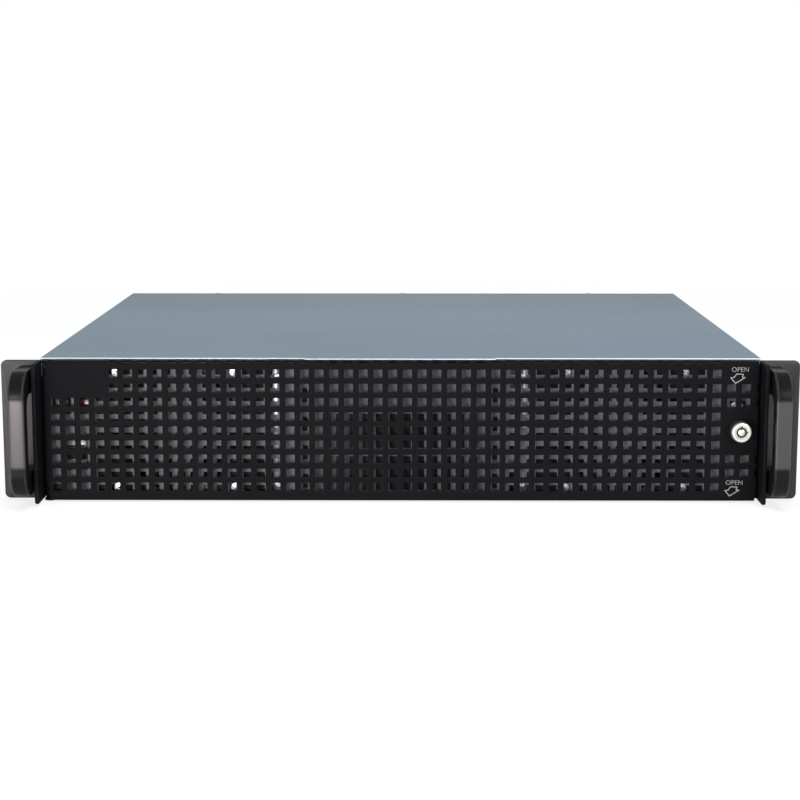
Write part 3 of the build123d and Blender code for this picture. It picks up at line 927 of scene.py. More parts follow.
@dataclass(frozen=True)
class DoorPan:
    """The perforated door: one punched sheet, bent back on all four sides."""

    columns: int = 48
    rows: int = 9
    blank_columns: int = 4  # at the top left, over the controls
    blank_rows: int = 2
    lock_columns: int = 2  # beside the lock, where only some rows are punched
    lock_rows: tuple[int, ...] = (1, 2, 6, 7)
    hole: float = 5.2 * MM
    pitch_x: float = 8.87 * MM
    pitch_z: float = 8.69 * MM
    margin_top: float = 7.64 * MM
    sheet: float = 1.2 * MM
    bend: float = 1.5 * MM
    roll: float = 3.5 * MM
    bend_steps: int = 4
    roll_steps: int = 8
    notch: float = 9.6 * MM
    depth: float = 7.0 * MM
    pin: float = 1.05 * MM
    relief: float = 0.3 * MM  # between two folded walls, at a corner
    rim: float = 0.16 * MM
    rim_from: float = 55.0
    eye_sides: int = 40

    def build(self, bench: Bench) -> None:
        """Makes the door's pan with its eyes for the hinge pins.

        Args:
            bench: the finishes and the placing.
        """
        low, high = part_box("door_panel")
        work = self._punched(low, high)
        self._fold(work, low, high)
        thicken(work, self.sheet)
        bevel_sharp(work, self.rim, from_angle=self.rim_from)
        for level in (low[2], high[2] - self.sheet):
            eye = Matrix.Translation((low[0] + self.roll, low[1] + self.roll, level))
            profile = (
                (self.pin, 0.0), (self.roll, 0.0), (self.roll, self.sheet), (self.pin, self.sheet),
            )
            turned(work, profile, eye, self.eye_sides, closed=True)
        piece = to_object("door_pan", work, bench.materials["door_powder"])
        bench.place(piece, "door", "door_powder", "door_panel")

    def _punched(self, low: Vector, high: Vector) -> bmesh.types.BMesh:
        """Cuts the flat sheet with its holes, notches and bend lines.

        Args:
            low: the door's lowest corner.
            high: the door's highest corner.

        Returns:
            The flat sheet, at the door's X and Z and at Y = 0.
        """
        # One column and one row more than the face has: their holes fall on the bends.
        first = -(self.columns - 1) / 2 * self.pitch_x
        columns = openings([first + i * self.pitch_x for i in range(self.columns + 1)], self.hole)
        top = high[2] - self.margin_top
        rows = openings([top - j * self.pitch_z for j in range(self.rows - 1, -2, -1)], self.hole)
        tab = self.depth - self.bend * (2 - math.pi / 2)
        arc = self.roll * math.pi / 2
        sheet_low = (low[0] + self.roll - arc, low[2] - tab)
        sheet_high = (high[0] + tab, high[2] + tab)
        bends_x = self._bend_lines(high[0], 1) + self._roll_lines(low[0] + self.roll)
        bends_z = self._bend_lines(high[2], 1) + self._bend_lines(low[2], -1)
        notch_z = [low[2] + self.notch, high[2] - self.notch]
        tab_left = low[0] + self.roll + self.pin
        inset = self.bend + self.relief
        tab_right = high[0] - inset
        wall_low, wall_high = low[2] + inset, high[2] - inset

        def punched(column: int, row: int) -> bool:
            """Whether a hole is punched.

            Args:
                column: its column, from the left.
                row: its row, from the bottom.

            Returns:
                False at the blank corner and beside the lock.
            """
            level = self.rows - 1 - row
            if column < self.blank_columns and level < self.blank_rows:
                return False
            return column < self.columns - self.lock_columns or level in self.lock_rows

        work = pierced_sheet(
            sheet_low, sheet_high, columns, rows, punched,
            (
                bends_x + [tab_left, tab_right, low[0] + self.roll],
                bends_z + notch_z + [wall_low, wall_high],
            ),
        )
        gone = []
        for face in work.faces:
            x, _, z = face.calc_center_median()
            above = z > high[2] - self.bend or z < low[2] + self.bend
            if above and (x < tab_left or x > tab_right):
                beyond = z > high[2] or z < low[2] or x > high[0] - self.bend
                if beyond or x < low[0] + self.roll:
                    gone.append(face)
            elif x < low[0] + self.roll and not notch_z[0] < z < notch_z[1]:
                gone.append(face)
            elif x > high[0] - self.bend and not wall_low < z < wall_high:
                gone.append(face)
        bmesh.ops.delete(work, geom=list(dict.fromkeys(gone)), context="FACES")
        return work

    def _bend_lines(self, edge: float, outward: int) -> list[float]:
        """The lines across a bend whose outer face is at an edge."""
        start = edge - outward * self.bend
        arc = outward * self.bend * math.pi / 2
        return [start + arc * step / self.bend_steps for step in range(self.bend_steps + 1)]

    def _roll_lines(self, start: float) -> list[float]:
        """The lines across the roll at the hinge side."""
        arc = self.roll * math.pi / 2
        return [start - arc * step / self.roll_steps for step in range(1, self.roll_steps)]

    def _fold(self, work: bmesh.types.BMesh, low: Vector, high: Vector) -> None:
        """Bends the flat sheet back along its four edges.

        Args:
            work: the flat sheet.
            low: the door's lowest corner.
            high: the door's highest corner.
        """
        start = low[0] + self.roll
        near = 0.01 * MM
        for vert in work.verts:
            x, z = vert.co.x, vert.co.z
            y = low[1]
            between = low[2] + self.notch - near < z < high[2] - self.notch + near
            if x < start - near / 10 and between:
                turn = (start - x) / self.roll
                x = start - self.roll * math.sin(turn)
                y = low[1] + self.roll - self.roll * math.cos(turn)
            elif x > high[0] - self.bend:
                x, y = self._round(x, high[0], 1, low[1])
            if z > high[2] - self.bend:
                z, y = self._round(z, high[2], 1, low[1])
            elif z < low[2] + self.bend:
                z, y = self._round(z, low[2], -1, low[1])
            vert.co = (x, y, z)

    def _round(self, place: float, edge: float, outward: int, face: float) -> Span:
        """Carries a point of the flat sheet round a bend.

        Args:
            place: its coordinate across the bend, in the flat sheet.
            edge: where the bend's outer face is.
            outward: the direction of the edge.
            face: the Y of the door's face.

        Returns:
            Its coordinate across the bend and its Y.
        """
        run = (place - edge) * outward + self.bend
        turn = run / self.bend
        if turn <= math.pi / 2:
            across = edge - outward * self.bend * (1 - math.sin(turn))
            return across, face + self.bend * (1 - math.cos(turn))
        return edge, face + self.bend + run - self.bend * math.pi / 2


@dataclass(frozen=True)
class FanGuards:
    """The grey punched sheets in front of the fans, which show through the door's holes."""

    hole: float = 5.0 * MM
    pitch_x: float = 8.07 * MM
    pitch_z: float = 8.12 * MM
    first_x: float = 69.0 * MM
    first_z: float = 6.4 * MM
    columns: int = 15
    rows: int = 10
    inner: float = 62.6 * MM
    outer: float = 186.0 * MM
    low: float = 2.8 * MM
    high: float = 82.2 * MM
    sheet: float = 0.18 * MM

    def build(self, bench: Bench) -> None:
        """Makes both guards as one piece.

        Args:
            bench: the finishes and the placing.
        """
        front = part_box("drive_cage")[0][1]
        rows = openings([self.first_z + j * self.pitch_z for j in range(self.rows)], self.hole)
        work = bmesh.new()
        for side in Side:
            centres = sorted(side.value * (self.first_x + i * self.pitch_x) for i in range(self.columns))
            ends = sorted((side.value * self.inner, side.value * self.outer))
            closed = self.columns - 1 if side is Side.LEFT else -1
            guard = pierced_sheet(
                (ends[0], self.low), (ends[1], self.high), openings(centres, self.hole), rows,
                lambda column, row, closed=closed: column != closed,
            )
            absorb(work, guard)
        work.transform(Matrix.Translation((0, front - self.sheet - CLOSE, 0)))
        thicken(work, self.sheet)
        piece = to_object("fan_guards", work, bench.materials["guard_paint"])
        bench.place(piece, "chassis", "guard_paint", "front_panel")


@dataclass(frozen=True)
class EndFacings:
    """The grey facings at both ends of the front panel, round the controls and behind the lock."""

    near: float = 187.0 * MM
    far: float = 214.0 * MM
    low: float = 2.8 * MM
    high: float = 82.2 * MM
    sheet: float = 0.15 * MM
    room: float = 0.7 * MM  # round each control

    def build(self, bench: Bench) -> None:
        """Makes both facings as one piece, open round every control and round the lock.

        Args:
            bench: the finishes and the placing.
        """
        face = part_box("front_panel")[0][1]
        work = bmesh.new()
        controls = ("power_button", "reset_button", "indicator_lenses", "usb_sockets")
        for side, nodes in ((Side.LEFT, controls), (Side.RIGHT, ("lock_barrel", "lock_clip", "lock_cam"))):
            ends = sorted((side.value * self.near, side.value * self.far))
            holes = [self._opening(node, ends) for node in nodes]
            lines_x = [value for hole in holes for value in hole[0]]
            lines_z = [value for hole in holes for value in hole[1]]
            facing = pierced_sheet(
                (ends[0], self.low), (ends[1], self.high), (), (), lambda column, row: False,
                (lines_x, lines_z),
            )
            gone = []
            for cell in facing.faces:
                x, _, z = cell.calc_center_median()
                if any(across[0] < x < across[1] and up[0] < z < up[1] for across, up in holes):
                    gone.append(cell)
            bmesh.ops.delete(facing, geom=gone, context="FACES")
            absorb(work, facing)
        work.transform(Matrix.Translation((0, face - self.sheet - CLOSE, 0)))
        thicken(work, self.sheet)
        piece = to_object("end_facings", work, bench.materials["guard_paint"])
        bench.place(piece, "chassis", "guard_paint", "front_panel")

    def _opening(self, node: str, ends: Sequence[float]) -> tuple[Span, Span]:
        """The X and Z spans of the opening that clears a node.

        Args:
            node: the CAD node.
            ends: the facing's two ends.

        Returns:
            The opening's X span and Z span.
        """
        low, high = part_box(node)
        across = (max(low[0] - self.room, ends[0] + MM), min(high[0] + self.room, ends[1] - MM))
        return across, (low[2] - self.room, high[2] + self.room)


@dataclass(frozen=True)
class CentrePlate:
    """The plate across the drive cage's mouth, with small square holes and two laddered strips."""

    columns: int = 12
    hole: float = 5.1 * MM
    pitch: float = 8.1 * MM
    levels: tuple[float, ...] = tuple(z * MM for z in (8.2, 16.1, 24.0, 34.3, 42.3, 50.3))
    plate_half: float = 53.2 * MM
    gap: float = 1.3 * MM
    strip: float = 6.6 * MM
    rung: float = 5.9 * MM
    rung_hole: float = 3.0 * MM
    margin: float = 4.5 * MM
    sheet: float = 1.0 * MM
    lap: float = 1.0 * MM  # of a bridge or lug over what it joins
    inset: float = 0.1 * MM  # of a bridge or lug behind the plate's face
    lug_levels: tuple[float, ...] = (22.3 * MM, 62.5 * MM)
    lug_half: float = 5.0 * MM
    rim: float = 0.12 * MM
    # thickness of the dark sheet of painted shade behind the plate's holes
    filter: float = 0.1 * MM

    def build(self, bench: Bench) -> None:
        """Makes the plate.

        Args:
            bench: the finishes and the placing.
        """
        low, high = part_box("centre_plate")
        centres = [(i - (self.columns - 1) / 2) * self.pitch for i in range(self.columns)]
        work = pierced_sheet(
            (-self.plate_half, low[2]), (self.plate_half, high[2]), openings(centres, self.hole),
            openings(self.levels, self.hole), lambda column, row: True,
        )
        count = int((high[2] - low[2] - 2 * self.margin) / self.rung)
        start = low[2] + self.margin
        rungs = [(start + j * self.rung, start + j * self.rung + self.rung_hole) for j in range(count)]
        for side in Side:
            middle = side.value * (self.plate_half + self.gap + self.strip / 2)
            strip = pierced_sheet(
                (middle - self.strip / 2, low[2]), (middle + self.strip / 2, high[2]),
                openings([middle], self.rung_hole), rungs, lambda column, row: True,
            )
            absorb(work, strip)
        work.transform(Matrix.Translation((0, low[1], 0)))
        thicken(work, self.sheet)
        self._joins(work, low, high)
        # a dark sheet behind the holes paints the shade inside the cage
        self._shade_sheet(bench, low[1] + self.sheet, low[2], high[2])
        bevel_sharp(work, self.rim, 1, 60.0)
        piece = to_object("centre_plate_finished", work, bench.materials["plate_paint"])
        bench.place(piece, "chassis", "plate_paint", "centre_plate")

    def _joins(self, work: bmesh.types.BMesh, low: Vector, high: Vector) -> None:
        """Makes the bridges from the plate to its strips, and the lugs out to the cage.

        Args:
            work: the bmesh to add them to.
            low: the plate's lowest corner.
            high: the plate's highest corner.
        """
        outer = self.plate_half + self.gap + self.strip - self.lap
        tall = self.margin / 2
        for side in Side:
            for near, far, back, spans in (
                (
                    self.plate_half - self.lap, outer, 2 * self.inset,
                    [(level, level + tall) for level in (low[2], high[2] - tall)],
                ),
                (outer, high[0], self.inset, openings(self.lug_levels, 2 * self.lug_half)),
            ):
                ends = sorted((side.value * near, side.value * far))
                for bottom, top in spans:
                    block(
                        work, (ends[0], low[1] + back, bottom),
                        (ends[1], low[1] + self.sheet - self.inset, top),
                    )

    def _shade_sheet(self, bench: Bench, back: float, low: float, high: float) -> None:
        """Makes the dark sheet behind the plate's holes: painted shade for the dark inside of the cage.

        Args:
            bench: the finishes and the placing.
            back: the Y of the plate's rear face.
            low: the plate's lowest Z.
            high: the plate's highest Z.
        """
        reach = self.plate_half + self.gap + self.strip
        work = bmesh.new()
        face = back - self.filter - CLOSE
        block(work, (-reach, face, low + self.lap), (reach, back - CLOSE, high - self.lap))
        # the dark sheet of painted shade
        piece = to_object("dust_filter", work, bench.materials["panel_powder"])
        bench.place(piece, "chassis", "panel_powder", "centre_plate")


@dataclass(frozen=True)
class Fan:
    """One fan's rotor: a domed hub with twisted blades."""

    blades: int = 7
    depth: float = 20.0 * MM
    level: float = 43.0 * MM  # of the shaft
    hub: float = 14.5 * MM
    shell: float = 1.2 * MM
    web: float = 3.0 * MM
    shaft: float = 1.5 * MM
    crown: float = 1.6 * MM
    label: float = 4.4 * MM  # radius of the shallow dish on the hub
    dish: float = 0.2 * MM
    root: float = 12.5 * MM
    tip: float = 37.1 * MM
    thick: float = 1.1 * MM
    spread_root: float = 62.0
    spread_tip: float = 68.0
    rise_root: float = 14.0 * MM
    rise_tip: float = 11.0 * MM
    sweep: float = 0.16
    belly: float = 2.2 * MM
    blade_rim: float = 0.3 * MM
    lip: float = 34.6 * MM
    bore: float = 38.4 * MM
    lip_deep: float = 2.0 * MM
    lip_chamfer: float = 0.6 * MM

    def build(self, bench: Bench, side: Side) -> None:
        """Makes the rotor on one side, and the lip behind it.

        Args:
            bench: the finishes and the placing.
            side: the fan's side.
        """
        node = f"{side.name.lower()}_fan_rotor"
        low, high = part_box(node)
        centre, depth = (low[0] + high[0]) / 2, self.depth
        place = facing_door(centre, low[1] + depth, self.level)
        end = low[1] + depth - high[1]
        work = bmesh.new()
        profile = (
            (0.0, depth - self.dish), (self.label - 2 * self.dish, depth - self.dish), (self.label, depth),
            (self.hub - self.crown, depth), (self.hub - 0.5 * MM, depth - 0.5 * MM),
            (self.hub, depth - self.crown), (self.hub, 0.0), (self.hub - self.shell, 0.0),
            (self.hub - self.shell, self.web), (self.shaft, self.web), (self.shaft, end), (0.0, end),
        )
        turned(work, profile, place, 56)
        for number in range(self.blades):
            blade = self._blade(depth)
            blade.transform(place @ Matrix.Rotation(math.tau * number / self.blades, 4, "Z"))
            absorb(work, blade)
        piece = to_object(f"{node}_finished", work, bench.materials["rotor_plastic"])
        bench.place(piece, f"{side.name.lower()}_rotor", "rotor_plastic", node)
        self._lip(bench, side, centre)

    def _lip(self, bench: Bench, side: Side, x: float) -> None:
        """Makes the narrow lip at the rear of the frame's bore.

        Args:
            bench: the finishes and the placing.
            side: the fan's side.
            x: the fan's X.
        """
        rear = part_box("fan_frames")[1][1]
        start = self.dish
        end = start + self.lip_deep
        work = bmesh.new()
        profile = (
            (self.lip, start), (self.bore, start), (self.bore, end), (self.lip + self.lip_chamfer, end),
            (self.lip, end - self.lip_chamfer),
        )
        turned(work, profile, facing_door(x, rear, self.level), 72, closed=True)
        piece = to_object(f"{side.name.lower()}_fan_lip", work, bench.materials["frame_plastic"])
        bench.place(piece, "chassis", "frame_plastic", "fan_frames")

    def _blade(self, depth: float) -> bmesh.types.BMesh:
        """Makes one blade about the hub's own axis.

        Args:
            depth: the hub's depth.

        Returns:
            The blade, closed, with its normals outward.
        """
        blade = bmesh.new()
        bmesh.ops.create_grid(blade, x_segments=8, y_segments=8, size=0.5)
        for vert in blade.verts:
            along, across = vert.co.x + 0.5, vert.co.y
            radius = self.root + (self.tip - self.root) * along
            spread = math.radians(self.spread_root + (self.spread_tip - self.spread_root) * along)
            rise = self.rise_root + (self.rise_tip - self.rise_root) * along
            angle = across * spread + self.sweep * along * along
            height = depth / 2 + across * rise + (0.25 - across * across) * self.belly
            vert.co = (radius * math.cos(angle), radius * math.sin(angle), height)
        bmesh.ops.solidify(blade, geom=blade.faces[:], thickness=self.thick)
        bmesh.ops.recalc_face_normals(blade, faces=blade.faces)
        bevel_sharp(blade, self.blade_rim, from_angle=60.0)
        return blade


@dataclass(frozen=True)
class Screws:
    """Pan-head screws with a cross recess, in place of the plain heads."""

    radius: float = 3.4 * MM
    cross: float = 0.17  # half the recess's width, as a share of the radius
    reach: float = 0.62  # from the middle to the recess's ends
    shoulder: float = 0.86
    dome: float = 0.12
    taper: float = 0.82
    sunk: float = 0.75 * MM
    first_turn: float = 0.7
    next_turn: float = 1.9  # from one head to the next, so that no two stand alike

    def head(self, radius: float, height: float) -> bmesh.types.BMesh:
        """Makes one head about its own Z, with its seat at Z = 0.

        Args:
            radius: the head's radius.
            height: the head's height.

        Returns:
            The head, closed, with its normals outward.
        """
        work = bmesh.new()
        bmesh.ops.create_grid(work, x_segments=6, y_segments=6, size=3.0)
        for vert in work.verts:
            i, j = round(vert.co.x), round(vert.co.y)
            ring = max(abs(i), abs(j))
            if ring == 0:
                continue
            angle = math.atan2(j, i)
            away = (self.shoulder if ring == 3 else self.reach) * radius
            x, y = away * math.cos(angle), away * math.sin(angle)
            if ring == 1:
                x, y = i * self.cross * radius, j * self.cross * radius
            elif ring == 2 and 1 in (abs(i), abs(j)) or ring == 2 and 0 in (i, j):
                x = math.copysign(self.reach, i) * radius if abs(i) == 2 else i * self.cross * radius
                y = math.copysign(self.reach, j) * radius if abs(j) == 2 else j * self.cross * radius
            top = height - self.dome * height * (math.hypot(x, y) / radius) ** 2
            vert.co = (x, y, top)
        recess = []
        for face in work.faces:
            centre = face.calc_center_median()
            thin = min(abs(centre.x), abs(centre.y)) < self.cross * radius
            if thin and max(abs(centre.x), abs(centre.y)) < self.reach * radius:
                recess.append(face)
        sunk = bmesh.ops.extrude_face_region(work, geom=recess)
        verts = [item for item in sunk["geom"] if isinstance(item, bmesh.types.BMVert)]
        bmesh.ops.delete(work, geom=recess, context="FACES")
        bmesh.ops.translate(work, verts=verts, vec=(0, 0, -min(self.sunk, height * 0.6)))
        bmesh.ops.scale(work, verts=verts, vec=(self.taper, self.taper, 1.0))
        for size, level in ((0.97, height * 0.68), (1.0, height * 0.42), (1.0, 0.0)):
            rim = [edge for edge in work.edges if edge.is_boundary]
            grown = bmesh.ops.extrude_edge_only(work, edges=rim)
            for item in grown["geom"]:
                if isinstance(item, bmesh.types.BMVert):
                    flat = Vector((item.co.x, item.co.y, 0.0)).normalized() * size * radius
                    item.co = (flat.x, flat.y, level)
        rim = [edge for edge in work.edges if edge.is_boundary]
        bmesh.ops.contextual_create(work, geom=rim)
        bmesh.ops.recalc_face_normals(work, faces=work.faces)
        return work

    def places(self, node: str) -> list[tuple[Vector, Vector, Vector]]:
        """Reads where the heads of a node sit, from its loose solids.

        Args:
            node: the CAD node.

        Returns:
            For each head its lowest corner, its highest corner and its middle.
        """
        work = bmesh.new()
        work.from_mesh(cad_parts[node].data)
        bmesh.ops.remove_doubles(work, verts=work.verts, dist=MERGE)
        left = set(work.verts)
        found = []
        while left:
            group, todo = set(), [left.pop()]
            while todo:
                vert = todo.pop()
                group.add(vert)
                for edge in vert.link_edges:
                    other = edge.other_vert(vert)
                    if other in left:
                        left.discard(other)
                        todo.append(other)
            low = Vector([min(v.co[k] for v in group) for k in range(3)])
            high = Vector([max(v.co[k] for v in group) for k in range(3)])
            found.append((low, high, (low + high) / 2))
        work.free()
        return sorted(found, key=lambda item: tuple(round(c, 5) for c in item[2]))

    def build(self, bench: Bench) -> None:
        """Makes every group of screws, each on the body that its node rides on.

        Args:
            bench: the finishes and the placing.
        """
        groups = (
            ("handle_screws", "chassis", "bright_zinc", Vector((0, 1, 0))),
            ("ear_screws", "chassis", "bright_zinc", Vector((1, 0, 0))),
            ("fan_screws", "chassis", "bright_zinc", Vector((0, -1, 0))),
            ("cage_screws", "chassis", "bright_zinc", Vector((0, -1, 0))),
            ("slot_screws", "chassis", "bright_zinc", Vector((0, 1, 0))),
            ("cam_screw", "lock", "bright_zinc", Vector((0, 1, 0))),
        )
        for node, body, finish, outward in groups:
            work = bmesh.new()
            for number, (low, high, middle) in enumerate(self.places(node)):
                normal = outward.copy()
                if node == "ear_screws" and middle.x < 0:
                    normal = -normal
                if node == "cage_screws" and middle.y > -0.1:
                    normal = Vector((0, 0, 1))
                axis = max(range(3), key=lambda k: abs(normal[k]))
                height = high[axis] - low[axis]
                head = self.head(self.radius, height)
                seat = middle - normal * height / 2
                spin = Matrix.Rotation(self.first_turn + self.next_turn * number, 4, "Z")
                turn = normal.to_track_quat("Z", "Y").to_matrix().to_4x4()
                head.transform(Matrix.Translation(seat) @ turn @ spin)
                absorb(work, head)
            piece = to_object(f"{node}_finished", work, bench.materials[finish])
            bench.place(piece, body, finish, node)


@dataclass(frozen=True)
class CamLock:
    """The lock: a dark barrel with a bright ring, and a core with a round keyway."""

    ring: float = 5.8 * MM
    barrel: float = 6.35 * MM
    body: float = 5.35 * MM
    head: float = 9.0 * MM  # of the barrel, ahead of its body
    lap: float = 0.2 * MM
    bore: float = 3.95 * MM
    core: float = 3.9 * MM
    way_outer: float = 3.3 * MM
    way_inner: float = 2.05 * MM
    way_depth: float = 2.6 * MM
    way_fill: float = 0.7 * MM
    notch: float = 0.85 * MM

    def build(self, bench: Bench) -> None:
        """Makes the barrel, the ring on its face, the core and its pin.

        Args:
            bench: the finishes and the placing.
        """
        low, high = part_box("lock_barrel")
        x, z = (low[0] + high[0]) / 2, (low[2] + high[2]) / 2
        front, door, back = low[1], low[1] + self.head, high[1]
        place = facing_door(x, back, z)
        tall, seat = back - front, back - door
        work = bmesh.new()
        turned(
            work,
            (
                (self.bore, 0.0), (self.body, 0.0), (self.body, seat), (self.barrel, seat),
                (self.barrel, tall - 1.4 * MM), (self.bore, tall - 1.4 * MM),
            ),
            place, 64, closed=True,
        )
        bevel_sharp(work, 0.15 * MM)
        barrel = to_object("lock_barrel_body", work, bench.materials["dark_barrel"])
        bench.place(barrel, "door", "warm_nickel", "lock_barrel")
        work = bmesh.new()
        turned(
            work,
            (
                (self.bore, tall - 1.5 * MM), (self.ring, tall - 1.5 * MM), (self.ring, tall - 0.5 * MM),
                (self.ring - 0.2 * MM, tall - 0.12 * MM), (self.ring - 0.6 * MM, tall),
                (self.bore + 0.35 * MM, tall), (self.bore, tall - 0.3 * MM),
            ),
            place, 64, closed=True,
        )
        ring = to_object("lock_ring", work, bench.materials["warm_nickel"])
        bench.place(ring, "door", "warm_nickel", "lock_barrel")
        self._core(bench, x, z, back)

    def _core(self, bench: Bench, x: float, z: float, back: float) -> None:
        """Makes the core with its keyway, its notches and its pin.

        Args:
            bench: the finishes and the placing.
            x: the lock's X.
            z: the lock's Z.
            back: the Y of the core's rear end.
        """
        low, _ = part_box("lock_core")
        tall = back - low[1] + self.lap
        place = facing_door(x, back + self.lap, z)
        work = bmesh.new()
        turned(
            work,
            (
                (0.0, 0.0), (self.core, 0.0), (self.core, tall - 0.15 * MM), (self.core - 0.1 * MM, tall),
                (self.way_outer, tall), (self.way_outer, tall - self.way_depth),
                (self.way_inner, tall - self.way_depth), (self.way_inner, tall - 0.25 * MM),
                (self.way_inner - 0.2 * MM, tall - 0.1 * MM), (0.0, tall - 0.1 * MM),
            ),
            place, 56,
        )
        core = to_object("lock_core_finished", work, bench.materials["warm_nickel"])
        bench.place(core, "lock", "warm_nickel", "lock_core")
        work = bmesh.new()
        inner, outer = self.way_inner - 0.05 * MM, self.way_outer + 0.05 * MM
        bottom, fill = tall - self.way_depth, tall - self.way_fill
        turned(
            work, ((inner, bottom), (outer, bottom), (outer, fill), (inner, fill)), place, 56, closed=True
        )
        level = tall - 0.02 * MM
        for angle, inner, outer in (
            (90.0, self.way_outer - 0.4 * MM, self.core - 0.05 * MM),
            (0.0, self.way_outer - 0.4 * MM, self.core + 0.2 * MM),
            (90.0, 1.35 * MM, self.way_inner + 0.3 * MM),
        ):
            cut = bmesh.new()
            half = self.notch / 2
            block(cut, (inner, -half, level - 0.9 * MM), (outer, half, level + 0.04 * MM), 0.08 * MM)
            cut.transform(place @ Matrix.Rotation(math.radians(angle), 4, "Z"))
            absorb(work, cut)
        for number in range(7):
            angle = math.radians(20.0 + 360.0 / 7 * number)
            away = (self.way_inner + self.way_outer) / 2
            spot = Matrix.Translation((away * math.cos(angle), away * math.sin(angle), fill))
            pin = (
                (0.0, 0.0), (0.42 * MM, 0.0), (0.42 * MM, 0.2 * MM), (0.3 * MM, 0.3 * MM), (0.0, 0.3 * MM),
            )
            turned(work, pin, place @ spot, 14)
        keyway = to_object("lock_keyway", work, bench.materials["key_brass"])
        bench.place(keyway, "lock", "key_brass", "lock_core")


@dataclass(frozen=True)
class DoorMarks:
    """The plain OPEN mark and arrow, printed above and below the lock."""

    face: float = 0.06 * MM
    width: float = 10.0 * MM
    line: float = 0.5 * MM
    lift: float = -0.012  # of the letters' outline, which thins them
    places: tuple[tuple[Span, Span], ...] = (  # of each word and its arrow, in millimetres
        ((199.3, 80.0), (198.4, 72.6)),
        ((197.6, 10.7), (196.7, 3.4)),
    )
    outline: tuple[Span, ...] = (
        (3.7, 6.3), (8.1, 6.1), (7.6, 4.3), (9.4, 3.9), (3.2, 0.0), (0.0, 3.8), (2.2, 4.2),
    )

    def build(self, bench: Bench) -> None:
        """Makes both marks as one printed piece.

        Args:
            bench: the finishes and the placing.
        """
        low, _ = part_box("door_panel")
        work = bmesh.new()
        for word, arrow in self.places:
            absorb(work, self._word(word[0] * MM, word[1] * MM, low[1]))
            absorb(work, self._arrow(arrow[0] * MM, arrow[1] * MM, low[1]))
        piece = to_object("open_marks", work, bench.materials["mark_ink"])
        bench.place(piece, "door", "mark_ink")

    def _word(self, x: float, z: float, face: float) -> bmesh.types.BMesh:
        """Makes the word, flat on the door.

        Args:
            x: its left end.
            z: its base line.
            face: the Y of the door's face.

        Returns:
            The word's mesh.
        """
        curve = bpy.data.curves.new("open_word", "FONT")
        curve.body = "OPEN"
        curve.size = 1.0
        curve.resolution_u = 3
        curve.extrude = 0.0
        curve.offset = self.lift
        passing = bpy.data.objects.new("open_word", curve)
        bpy.context.scene.collection.objects.link(passing)
        mesh = bpy.data.meshes.new_from_object(passing)
        word = bmesh.new()
        word.from_mesh(mesh)
        bpy.data.objects.remove(passing)
        bpy.data.curves.remove(curve)
        bpy.data.meshes.remove(mesh)
        left = min(v.co.x for v in word.verts)
        wide = max(v.co.x for v in word.verts) - left
        scale = self.width / wide
        word.transform(
            Matrix.Translation((x, face, z)) @ Matrix.Rotation(math.radians(90), 4, "X")
            @ Matrix.Scale(scale, 4) @ Matrix.Translation((-left, 0, 0))
        )
        self._raise(word)
        return word

    def _arrow(self, x: float, z: float, face: float) -> bmesh.types.BMesh:
        """Makes the outlined arrow, flat on the door.

        Args:
            x: its lowest X.
            z: its lowest Z.
            face: the Y of the door's face.

        Returns:
            The arrow's mesh.
        """
        arrow = bmesh.new()
        corners = [arrow.verts.new((x + u * MM, face, z + v * MM)) for u, v in self.outline]
        whole = arrow.faces.new(corners)
        arrow.normal_update()
        rim = bmesh.ops.inset_region(
            arrow, faces=[whole], thickness=self.line, use_even_offset=True, use_boundary=True
        )
        inner = [part for part in arrow.faces if part not in rim["faces"]]
        bmesh.ops.delete(arrow, geom=inner, context="FACES")
        self._raise(arrow)
        return arrow

    def _raise(self, work: bmesh.types.BMesh) -> None:
        """Gives a flat mark the thickness of its ink.

        Args:
            work: the flat mark.
        """
        grown = bmesh.ops.extrude_face_region(work, geom=work.faces[:], use_keep_orig=True)
        verts = [item for item in grown["geom"] if isinstance(item, bmesh.types.BMVert)]
        bmesh.ops.translate(work, verts=verts, vec=(0, -self.face, 0))
        bmesh.ops.recalc_face_normals(work, faces=work.faces)


@dataclass(frozen=True)
class ThumbScrews:
    """The knurled screws that hold the cover at the rear."""

    radius: float = 4.8 * MM
    teeth: int = 36
    tooth: float = 0.28 * MM
    slot_width: float = 1.1 * MM

    def build(self, bench: Bench) -> None:
        """Makes the three screws.

        Args:
            bench: the finishes and the placing.
        """
        low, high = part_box("thumb_screws")
        tall = high[1] - low[1]
        middle = (low[0] + high[0]) / 2
        reach = (high[0] - low[0]) / 2 - self.radius
        work = bmesh.new()
        for number in (-1, 0, 1):
            screw = bmesh.new()
            knob = (
                (0.0, 0.0), (self.radius * 0.55, 0.0), (self.radius * 0.55, tall * 0.25),
                (self.radius * 0.92, tall * 0.25), (self.radius, tall * 0.32), (self.radius, tall * 0.90),
                (self.radius * 0.92, tall * 0.98), (self.radius * 0.5, tall),
                (self.radius * 0.46, tall - 0.9 * MM), (0.0, tall - 0.9 * MM),
            )
            turned(screw, knob, Matrix.Identity(4), self.teeth * 2)
            for vert in screw.verts:
                around = math.hypot(vert.co.x, vert.co.y)
                if around > self.radius * 0.97:
                    step = round(math.atan2(vert.co.y, vert.co.x) / (math.pi / self.teeth))
                    if step % 2:
                        vert.co.x *= 1 - self.tooth / around
                        vert.co.y *= 1 - self.tooth / around
            screw.transform(facing_back(middle + number * reach, low[1], (low[2] + high[2]) / 2))
            absorb(work, screw)
        piece = to_object("thumb_screws_finished", work, bench.materials["bright_zinc"])
        bench.place(piece, "cover", "bright_zinc", "thumb_screws")


